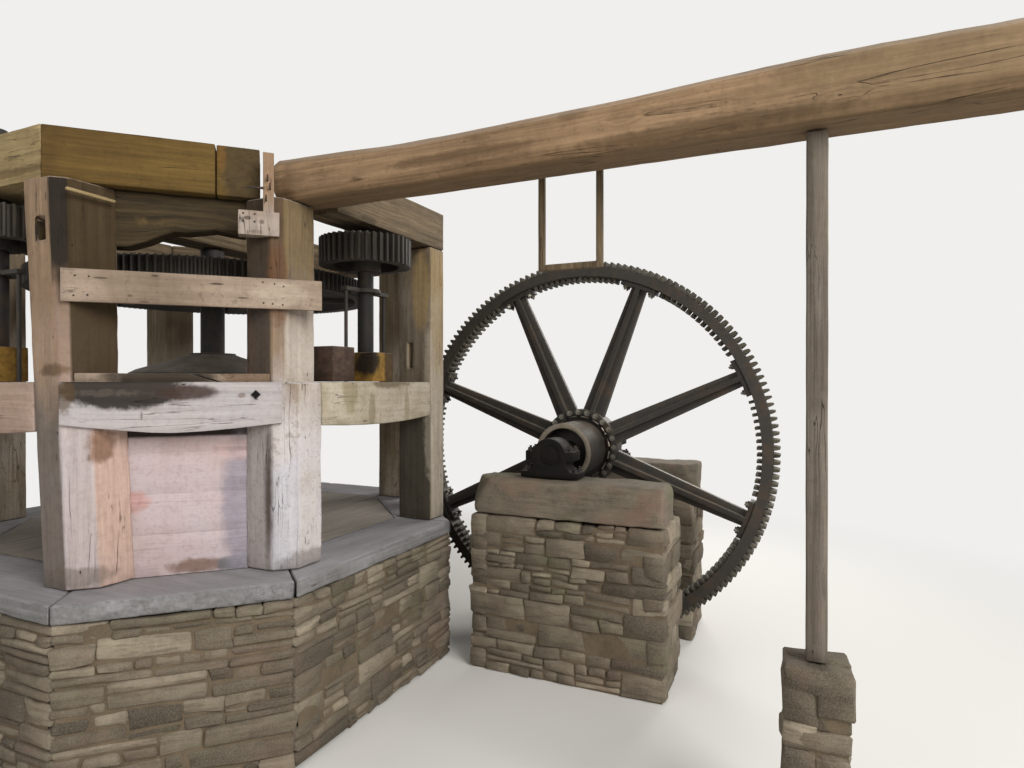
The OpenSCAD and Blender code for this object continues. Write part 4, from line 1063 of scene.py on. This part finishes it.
def layDeck():
    rng = random.Random(5)
    low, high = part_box("inner_deck")
    under = high.z - deck["thick"]
    parts = []
    x = low.x
    while x < high.x - 0.02:
        width = min(deck["boardW"] * rng.uniform(0.8, 1.2), high.x - x)
        bm = nodeMesh("inner_deck")
        slicedBy(bm, ((x + width - deck["gap"], 0, 0), xWay), ((x, 0, 0), -xWay), ((0, 0, under), -zWay))
        x += width
        if not bm.faces:
            bm.free()
            continue
        roundEdges(bm, 0.004, 1, 40)
        cutRows(bm, yWay, 0.25)
        wearIn(bm, 0.003, 0.004, 0.4, x * 3)
        markGrain(bm, yWay, x * 2.7, rng.uniform(0.1, 0.9))
        bmesh.ops.translate(bm, verts=bm.verts, vec=(0, 0, -rng.uniform(0, deck["sag"])))
        parts.append(bm)
    joists = nodeMesh("inner_deck")
    slicedBy(joists, ((0, 0, under - 0.001), zWay))
    roundEdges(joists, 0.006, 1, 40)
    markGrain(joists, xWay, 4.2, 0.3)
    parts.append(joists)
    makePiece("innerDeckBoards", joined(parts), [finishes["deckOak"]], "frame", ["inner_deck"])


layDeck()

print("stage: coursed rubble")

rubble = {
    "courseLow": 0.10,         # height of a course, in metres
    "courseHigh": 0.22,
    "lengthLow": 0.22,
    "lengthHigh": 0.56,
    "thin": 0.045,             # no stone is thinner than this
    "joint": 0.013,
    "depth": 0.15,
    "round": 0.012,
    "rough": 0.007,
    "coreInset": 0.022,        # how far the mortar lies behind the wall's plane
}


def splitBlock(wide, tall, rng, parts, s=0.0, z=0.0, deep=0):
    # one block of a course, either whole or built up of smaller stones
    room = rubble["thin"] * 2 + 0.01
    if tall > room and rng.random() < (0.80 if tall > 0.15 else 0.55) and deep < 3:
        cut = rng.uniform(rubble["thin"], tall - rubble["thin"])
        splitBlock(wide, cut, rng, parts, s, z, deep + 1)
        splitBlock(wide, tall - cut, rng, parts, s, z + cut, deep + 1)
    elif wide > 0.24 and wide > 2.6 * tall and rng.random() < 0.6 and deep < 4:
        cut = wide * rng.uniform(0.3, 0.7)
        splitBlock(cut, tall, rng, parts, s, z, deep + 1)
        splitBlock(wide - cut, tall, rng, parts, s + cut, z, deep + 1)
    else:
        parts.append((s, z, wide, tall))


def layCourses(length, low, high, rng, trim):
    # the blocks of one wall face as (along, height, width, tallness), course by course
    parts = []
    z = low
    course = 0
    while z < high - 0.01:
        tall = rng.uniform(rubble["courseLow"], rubble["courseHigh"])
        if high - z - tall < rubble["courseLow"]:
            tall = high - z
            if tall > rubble["courseHigh"] * 1.3:
                tall /= 2
        s = rubble["depth"] if trim and course % 2 == trim - 1 else 0.0
        while s < length - 0.005:
            wide = rng.uniform(rubble["lengthLow"], rubble["lengthHigh"])
            if length - s - wide < rubble["lengthLow"]:
                wide = length - s
                if wide > rubble["lengthHigh"] * 1.2:
                    wide /= 2
            atEnd = s < 0.01 or length - s - wide < 0.01
            if atEnd and trim:
                # a quoin stays whole
                parts.append((s, z, wide, tall))
            else:
                splitBlock(wide, tall, rng, parts, s, z)
            s += wide
        z += tall
        course += 1
    return parts


def layWall(bm, start, end, low, high, rng, trim):
    # one face of a wall: rough courses of split stones, each a block of its own
    along = Vector((end[0] - start[0], end[1] - start[1], 0))
    length = along.length
    along.normalize()
    inward = Vector((-along.y, along.x, 0))
    turn = math.atan2(along.y, along.x)
    for s, z, wide, tall in layCourses(length, low, high, rng, trim):
        out = rng.uniform(-0.004, 0.016)
        mid = Vector((start[0], start[1], 0)) + along * (s + wide / 2) + inward * (rubble["depth"] / 2 + out)
        place = (Matrix.Translation((mid.x, mid.y, z + tall / 2))
                 @ Matrix.Rotation(turn + rng.uniform(-0.015, 0.015), 4, "Z")
                 @ Matrix.Rotation(rng.uniform(-0.02, 0.02), 4, "Y")
                 @ Matrix.Diagonal((wide - rubble["joint"] * rng.uniform(0.5, 1.3), rubble["depth"],
                                    tall - rubble["joint"] * rng.uniform(0.4, 1.0), 1)))
        reach = min(0.014, tall * 0.14)
        for vert in bmesh.ops.create_cube(bm, size=1.0, matrix=place)["verts"]:
            vert.co += Vector((rng.uniform(-1, 1), rng.uniform(-1, 1), rng.uniform(-1, 1))) * reach


def finishStones(bm, seed):
    # breaks up the blocks' faces and gives each stone a tone of its own
    rough = rubble["rough"]
    bmesh.ops.subdivide_edges(bm, edges=bm.edges[:], cuts=1, use_grid_fill=True)
    for vert in bm.verts:
        vert.co += noise.noise_vector(vert.co * 7 + Vector((seed, 0, 0))) * rough * 1.6
    roundEdges(bm, rubble["round"], 1, 40)
    tones = bm.verts.layers.float.new("tone")
    wear = bm.verts.layers.float.new("wear")
    rng = random.Random(seed)
    bm.normal_update()
    for vert in bm.verts:
        vert.co += noise.noise_vector(vert.co * 16 + Vector((seed, 0, 0))) * rough
        vert[wear] = 0.4 * edgeNess(vert)
    for group in islandsOf(bm):
        tone = min(1.0, max(0.0, rng.gauss(0.42, 0.28)))
        for vert in group:
            vert[tones] = tone
    # no stone goes below the ground
    for vert in bm.verts:
        vert.co.z = max(0.0, vert.co.z)


def mortarCore(*names):
    # the solids themselves, drawn in a little, as the mortar behind the stones
    inset = rubble["coreInset"]
    for name in names:
        bm = nodeMesh(name)
        low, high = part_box(name)
        bm.normal_update()
        for vert in bm.verts:
            vert.co -= vert.normal * vert.calc_shell_factor() * inset
            if vert.co.z < low.z + inset * 1.2:
                vert.co.z = low.z
        tones = bm.verts.layers.float.new("tone")
        for vert in bm.verts:
            vert[tones] = 0.5
        makePiece(titled(name, "Core"), bm, [finishes["earthMortar"]], "frame", [name])


def layRubble():
    # the octagonal footing, face by face round its outside
    rng = random.Random(21)
    ringPoints = {}
    for name in ("footing_square_walls", "footing_corner_walls"):
        for bm in solidsOf(name):
            points = {(round(v.co.x, 4), round(v.co.y, 4)) for v in bm.verts}
            points = sorted(points, key=lambda p: -math.hypot(*p))[:2]
            middle = ((points[0][0] + points[1][0]) / 2, (points[0][1] + points[1][1]) / 2)
            ringPoints[math.atan2(middle[1], middle[0])] = points
            bm.free()
    bm = bmesh.new()
    for angle in sorted(ringPoints):
        a, b = ringPoints[angle]
        if a[0] * b[1] - a[1] * b[0] < 0:
            a, b = b, a
        layWall(bm, a, b, 0.0, floorZ, rng, 0)
    finishStones(bm, 3)
    makePiece("footingStones", bm, [finishes["rubbleStone"]], "frame", [], 50)
    mortarCore("footing_square_walls", "footing_corner_walls")
    # plinths and piers: four faces, with the quoins laid this way and that
    bm = bmesh.new()
    blocks = [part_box("front_rubble_plinth"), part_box("rear_rubble_plinth")]
    for pier in solidsOf("stone_piers"):
        ends = [endsOf(pier, axis) for axis in (xWay, yWay, zWay)]
        blocks.append([Vector(corner) for corner in zip(*ends)])
        pier.free()
    for low, high in blocks:
        ring = [(low.x, low.y), (high.x, low.y), (high.x, high.y), (low.x, high.y)]
        for k in range(4):
            layWall(bm, ring[k], ring[(k + 1) % 4], low.z, high.z, rng, 1 + k % 2)
    finishStones(bm, 8)
    makePiece("plinthStones", bm, [finishes["rubbleStone"]], "frame", [], 50)
    mortarCore("front_rubble_plinth", "rear_rubble_plinth", "stone_piers")


layRubble()

bearingBlock = {
    "round": 0.026,
    "step": 0.065,
    "rough": 0.026,
    "cornerShare": 0.8,        # how many of its corners have broken off
    "chip": 0.10,
    "bed": 0.045,              # height of the beds that its lower part has split along
    "splitUp": 0.16,
    "ledge": 0.030,
}


def hewStone(name, seed):
    # a split granite block with broken corners
    rng = random.Random(seed)
    bm = nodeMesh(name)
    low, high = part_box(name)
    middle = (low + high) / 2
    for x in (low.x, high.x):
        for y in (low.y, high.y):
            for z in (low.z, high.z):
                if rng.random() < bearingBlock["cornerShare"]:
                    size = bearingBlock["chip"] * rng.uniform(0.4, 1.3)
                    normal = Vector((math.copysign(rng.uniform(0.5, 1), x - middle.x),
                                     math.copysign(rng.uniform(0.5, 1), y - middle.y),
                                     math.copysign(rng.uniform(0.4, 1), z - middle.z))).normalized()
                    slicedBy(bm, (Vector((x, y, z)) - normal * size, normal))
    roundEdges(bm, bearingBlock["round"], 2, 20)
    for axis in (xWay, yWay, zWay):
        cutRows(bm, axis, bearingBlock["step"])
    wearIn(bm, bearingBlock["rough"], bearingBlock["rough"] * 1.2, 0.20, seed, 0.03)
    # the lower part has split along its beds
    bm.normal_update()
    for vert in bm.verts:
        if abs(vert.normal.z) < 0.6:
            bed = math.floor((vert.co.z - low.z + 0.03 * noise.noise(vert.co * 2)) / bearingBlock["bed"])
            if vert.co.z < low.z + bearingBlock["splitUp"]:
                inwards = abs(noise.noise(Vector((bed * 3.7, vert.co.x * 2.5, seed))))
                vert.co -= vert.normal * bearingBlock["ledge"] * inwards
        elif vert.normal.z > 0.6:
            vert.co.z -= 0.02 * max(0.0, noise.noise(vert.co * 3))
    markWear(bm, 0.62)
    makePiece(titled(name, "Hewn"), bm, [finishes["granite"]], "frame", [name], 45)


hewStone("front_bearing_stone", 4)
hewStone("rear_bearing_stone", 9)

print("stage: castings and cogs")

castings = {
    "pit_wheel_rim": {"round": 0.0025, "segments": 1},
    "pit_wheel_spider": {"round": 0.007, "segments": 2},
    "pit_wheel_shaft": {"round": 0.006, "segments": 2},
    "wheel_bearings": {"round": 0.008, "segments": 2},
    "great_spur_wheel": {"round": 0.004, "segments": 1},
    "crown_wheel": {"round": 0.004, "segments": 1},
    "right_stone_nut": {"round": 0.003, "segments": 1},
    "left_stone_nut": {"round": 0.003, "segments": 1},
    "upright_shaft": {"round": 0.005, "segments": 2},
    "shaft_footstep": {"round": 0.006, "segments": 2},
    "right_spindle": {"round": 0.004, "segments": 2},
    "left_spindle": {"round": 0.004, "segments": 2},
    "spindle_jacks": {"round": 0.003, "segments": 1},
}


# the drum's end ring is rubbed pale, and the shaft inside it is greasy
drumEnd = {"from": 0.50, "inner": 0.20, "shaft": 0.15}


def dressCastings():
    # the castings keep their shape and get softened arrises, dust and rust
    for name, look in castings.items():
        bm = nodeMesh(name)
        roundEdges(bm, look["round"], look["segments"], 30)
        markWear(bm)
        looks = [finishes[title] for title in ("darkCastIron", "wornIron", "greasyIron", "rubbedIron")]
        for face in bm.faces:
            if name == "wheel_bearings":
                face.material_index = 2
            elif name == "pit_wheel_shaft":
                away = [math.hypot(v.co.x - wheelMid.x, v.co.z - wheelMid.z) for v in face.verts]
                outer = all(abs(v.co.y - wheelMid.y) > drumEnd["from"] for v in face.verts)
                if outer and min(away) > drumEnd["inner"]:
                    face.material_index = 3
                elif max(away) < drumEnd["shaft"]:
                    face.material_index = 2
        makePiece(titled(name, "Casting"), bm, looks, bodyOf[name], [name], 34)


dressCastings()


def dressCogs():
    # each cog is a piece of wood of its own, rounded by wear at its tip
    rng = random.Random(17)
    bm = nodeMesh("pit_wheel_cogs")
    roundEdges(bm, 0.0035, 1, 25)
    grain = bm.verts.layers.float_vector.new("grain")
    wear = bm.verts.layers.float.new("wear")
    tones = bm.verts.layers.float.new("tone")
    bm.normal_update()
    for group in islandsOf(bm):
        middle = sum((v.co for v in group), Vector()) / len(group)
        radial = Vector((middle.x - wheelMid.x, 0, middle.z - wheelMid.z)).normalized()
        side = Vector((radial.z, 0, -radial.x))
        tone = rng.uniform(0.0, 1.0)
        shift = rng.uniform(0, 9)
        for vert in group:
            offset = vert.co - middle
            vert[grain] = (offset.dot(radial) + shift, offset.y + shift, offset.dot(side) + shift * 2)
            vert[wear] = edgeNess(vert)
            vert[tones] = tone
            vert.co += noise.noise_vector(vert.co * 30) * 0.0006
    makePiece("pitWheelCogsWorn", bm, [finishes["dryHornbeam"]], "pit_wheel", ["pit_wheel_cogs"],
              34)


dressCogs()

print("stage: bolts, nails and small pieces")

bolts = {
    "head": 0.036,
    "headTall": 0.020,
    "stud": 0.010,
    "studTall": 0.034,
    "washer": 0.028,
    "hubRing": 0.342,
    "hubCount": 24,
    "firstArm": 24.3,          # degrees from the level line to the first arm
    "footRing": 1.610,         # where the arms' feet are bolted to the rim
    "footAcross": 0.125,
    "footApart": 0.048,
    "bearingOut": 0.8,         # from the wheel's middle to its bearings
    "bearingApart": 0.055,
    "capAcross": 0.185,
    "soleAcross": 0.225,
}
keys = {"count": 16, "first": 12, "ring": 0.298, "back": 0.040, "front": 0.034, "thick": 0.010}
hubHalf = (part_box("pit_wheel_spider")[1].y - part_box("pit_wheel_spider")[0].y) / 2


def wheelWays(degrees):
    # outwards from the wheel's shaft at an angle, and square to that
    a = math.radians(degrees)
    return Vector((math.cos(a), 0, math.sin(a))), Vector((-math.sin(a), 0, math.cos(a)))


def addBolt(bm, place, normal, scale=1.0, sides=6):
    # washer, nut and the stud's end, standing on a face
    turn = Vector(normal).to_track_quat("Z", "Y").to_matrix().to_4x4()
    seat = Matrix.Translation(place) @ turn @ Matrix.Scale(scale, 4)
    for radius, tall, count, base in ((bolts["washer"], 0.004, 12, -0.001),
                                      (bolts["head"] / 2 * 1.15, bolts["headTall"], sides, 0.002),
                                      (bolts["stud"], bolts["studTall"], 8, 0.002)):
        bmesh.ops.create_cone(bm, cap_ends=True, segments=count, radius1=radius, radius2=radius * 0.96,
                              depth=tall, matrix=seat @ Matrix.Translation((0, 0, base + tall / 2)))


def addBolts():
    # round the hub, in the arms' feet, and in the bearings' caps and soles
    bm = bmesh.new()
    for k in range(bolts["hubCount"]):
        radial, _ = wheelWays(bolts["firstArm"] + 360 / bolts["hubCount"] * (k + 0.5))
        for s in (-1, 1):
            addBolt(bm, wheelMid + radial * bolts["hubRing"] + yWay * (s * hubHalf), (0, s, 0))
    for k in range(8):
        radial, side = wheelWays(bolts["firstArm"] + 45 * k)
        out = radial * math.sqrt(bolts["footRing"] ** 2 - bolts["footAcross"] ** 2)
        for across in (-bolts["footAcross"], bolts["footAcross"]):
            for y in (-bolts["footApart"], bolts["footApart"]):
                addBolt(bm, wheelMid + out + side * across + yWay * y, -radial, 1.1, 4)
    makePiece("wheelBolts", bm, [finishes["wornIron"]], "pit_wheel", [], 30)
    bm = bmesh.new()
    rows = ((bolts["capAcross"], wheelMid.z + 0.04, 6),
            (bolts["soleAcross"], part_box("wheel_bearings")[0].z + 0.05, 4))
    for s in (-1, 1):
        for reach, z, sides in rows:
            for across in (-reach, reach):
                for shift in (-bolts["bearingApart"], bolts["bearingApart"]):
                    y = wheelMid.y + s * bolts["bearingOut"] + shift
                    addBolt(bm, (wheelMid.x + across, y, z), zWay, 1.2, sides)
    makePiece("bearingBolts", bm, [finishes["darkCastIron"]], "frame", [], 30)


addBolts()


def addBar(bm, start, end, thick, sides=8, tip=1.0):
    # a round or square bar between two points; it may taper to its tip
    start, end = Vector(start), Vector(end)
    reach = end - start
    turn = reach.to_track_quat("Z", "Y").to_matrix().to_4x4()
    bmesh.ops.create_cone(bm, cap_ends=True, segments=sides, radius1=thick, radius2=thick * tip,
                          depth=reach.length, matrix=Matrix.Translation((start + end) / 2) @ turn)


def addKeys():
    # wedges that fix the hub, rubbed bright
    bm = bmesh.new()
    for k in range(keys["count"]):
        radial, side = wheelWays(keys["first"] + 360 / keys["count"] * k)
        for s in (-1, 1):
            point = wheelMid + radial * keys["ring"] + yWay * (s * (hubHalf + 0.003))
            addBar(bm, point - side * keys["back"], point + side * keys["front"], keys["thick"], 4, 0.75)
    makePiece("hubKeys", bm, [finishes["wornIron"]], "pit_wheel", [], 30)


# nails in rows: how far out, across and up, then how uneven, how deep, how proud and how thick
nailRows = [
    (frontOut + 0.040, (-0.60, -0.53, 0.47, 0.53, 0.60), (3.020, 3.150), 0.015, 0.012, 0.003, 0.0075),
    (panelOut, (-0.42, 0.40), (1.33, 1.44, 1.55, 1.66, 1.80, 1.93, 2.06, 2.17), 0.012, 0.010, 0.002, 0.006),
]
corbelNails = [(0.35, 3.56), (0.42, 3.56), (0.35, 3.61), (0.42, 3.61)]
stripOut = frontOut + 0.030
hooks = {"at": [(0.50, 3.84), (0.515, 3.785), (0.49, 3.705)], "reach": 0.034, "tall": 0.030, "thick": 0.0065}
spike = {"root": (stripOut + 0.006, 0.475, 3.785), "point": (stripOut + 0.002, 0.352, 3.780), "thick": 0.0095}
tieBolt = {"at": (bridgeOut, 0.425, 2.415), "corner": 0.034, "faceCorner": 0.030, "deep": 0.045}
slat = {"size": (0.022, 0.30, 0.020), "in": 0.024, "along": -0.03, "up": 3.655, "slope": -1.2}


def addNails():
    # rose-headed nails in the boards, and the hooks and the spike by the great beam's end
    rng = random.Random(33)
    bm = bmesh.new()
    for out, places, heights, uneven, deep, proud, thick in nailRows:
        for s in places:
            for z in heights:
                point = bayPoint(out, s + rng.uniform(-uneven, uneven), z + rng.uniform(-0.012, 0.012))
                addBar(bm, point - outward * deep, point + outward * proud, thick, 6, 0.7)
    for s, z in corbelNails:
        point = bayPoint(frontOut + 0.032, s, z)
        addBar(bm, point - outward * 0.010, point + outward * 0.004, 0.008, 6, 0.7)
    # the spike is driven in sideways
    addBar(bm, bayPoint(*spike["root"]), bayPoint(*spike["point"]), spike["thick"], 6, 0.25)
    for s, z in hooks["at"]:
        root = bayPoint(stripOut - 0.004, s, z)
        knee = root + outward * hooks["reach"]
        addBar(bm, root, knee, hooks["thick"], 8)
        tip = knee + zWay * hooks["tall"] + outward * 0.004
        addBar(bm, knee - outward * 0.004, tip, hooks["thick"], 8, 0.7)
    makePiece("frameNails", bm, [finishes["nailIron"]], "frame", [], 30)


def addTieBolt():
    # square bolt head, set cornerwise, that ties the front bridge beam to its post
    bm = bmesh.new()
    turn = outward.to_track_quat("Z", "Y").to_matrix().to_4x4()
    bmesh.ops.create_cone(bm, cap_ends=True, segments=4, radius1=tieBolt["corner"],
                          radius2=tieBolt["faceCorner"], depth=tieBolt["deep"],
                          matrix=Matrix.Translation(bayPoint(*tieBolt["at"])) @ turn)
    makePiece("bridgeBolt", bm, [finishes["greasyIron"]], "frame", [], 30)


def addSlat():
    # thin pale slat along the top of the left front post
    bm = bmesh.new()
    low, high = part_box("front_left_post")
    seat = Matrix.Translation((high.x - slat["in"], (low.y + high.y) / 2 + slat["along"], slat["up"]))
    bmesh.ops.create_cube(bm, size=1.0, matrix=seat @ Matrix.Rotation(math.radians(slat["slope"]), 4, "X")
                          @ Matrix.Diagonal((*slat["size"], 1)))
    roundEdges(bm, 0.003, 1)
    cutRows(bm, yWay, 0.05)
    wearIn(bm, 0.002, 0.002, 0.2, 5)
    markGrain(bm, yWay, 2.2, 0.9)
    makePiece("postSlat", bm, [finishes["creamOak"]], "frame", [], 38)


# radius and height of the dish's outline, from the shaft outwards and back underneath
dishProfile = [(0.206, 2.752), (0.245, 2.735), (0.630, 2.612), (0.690, 2.580), (0.722, 2.504), (0.206, 2.600)]
dishSides = 60


def addDish():
    # the raised dish of the crown wheel, cast over its arms
    bm = bmesh.new()
    rings = []
    for radius, z in dishProfile:
        angles = [math.radians(360 / dishSides * k) for k in range(dishSides)]
        rings.append([bm.verts.new((radius * math.cos(a), radius * math.sin(a), z)) for a in angles])
    for first, second in zip(rings, rings[1:] + rings[:1]):
        for k in range(dishSides):
            after = (k + 1) % dishSides
            bm.faces.new((first[k], second[k], second[after], first[after]))
    bm.verts.layers.float.new("wear")
    makePiece("crownWheelDish", bm, [finishes["darkCastIron"]], "upright", [], 20)


addKeys()
addNails()
addTieBolt()
addSlat()
addDish()
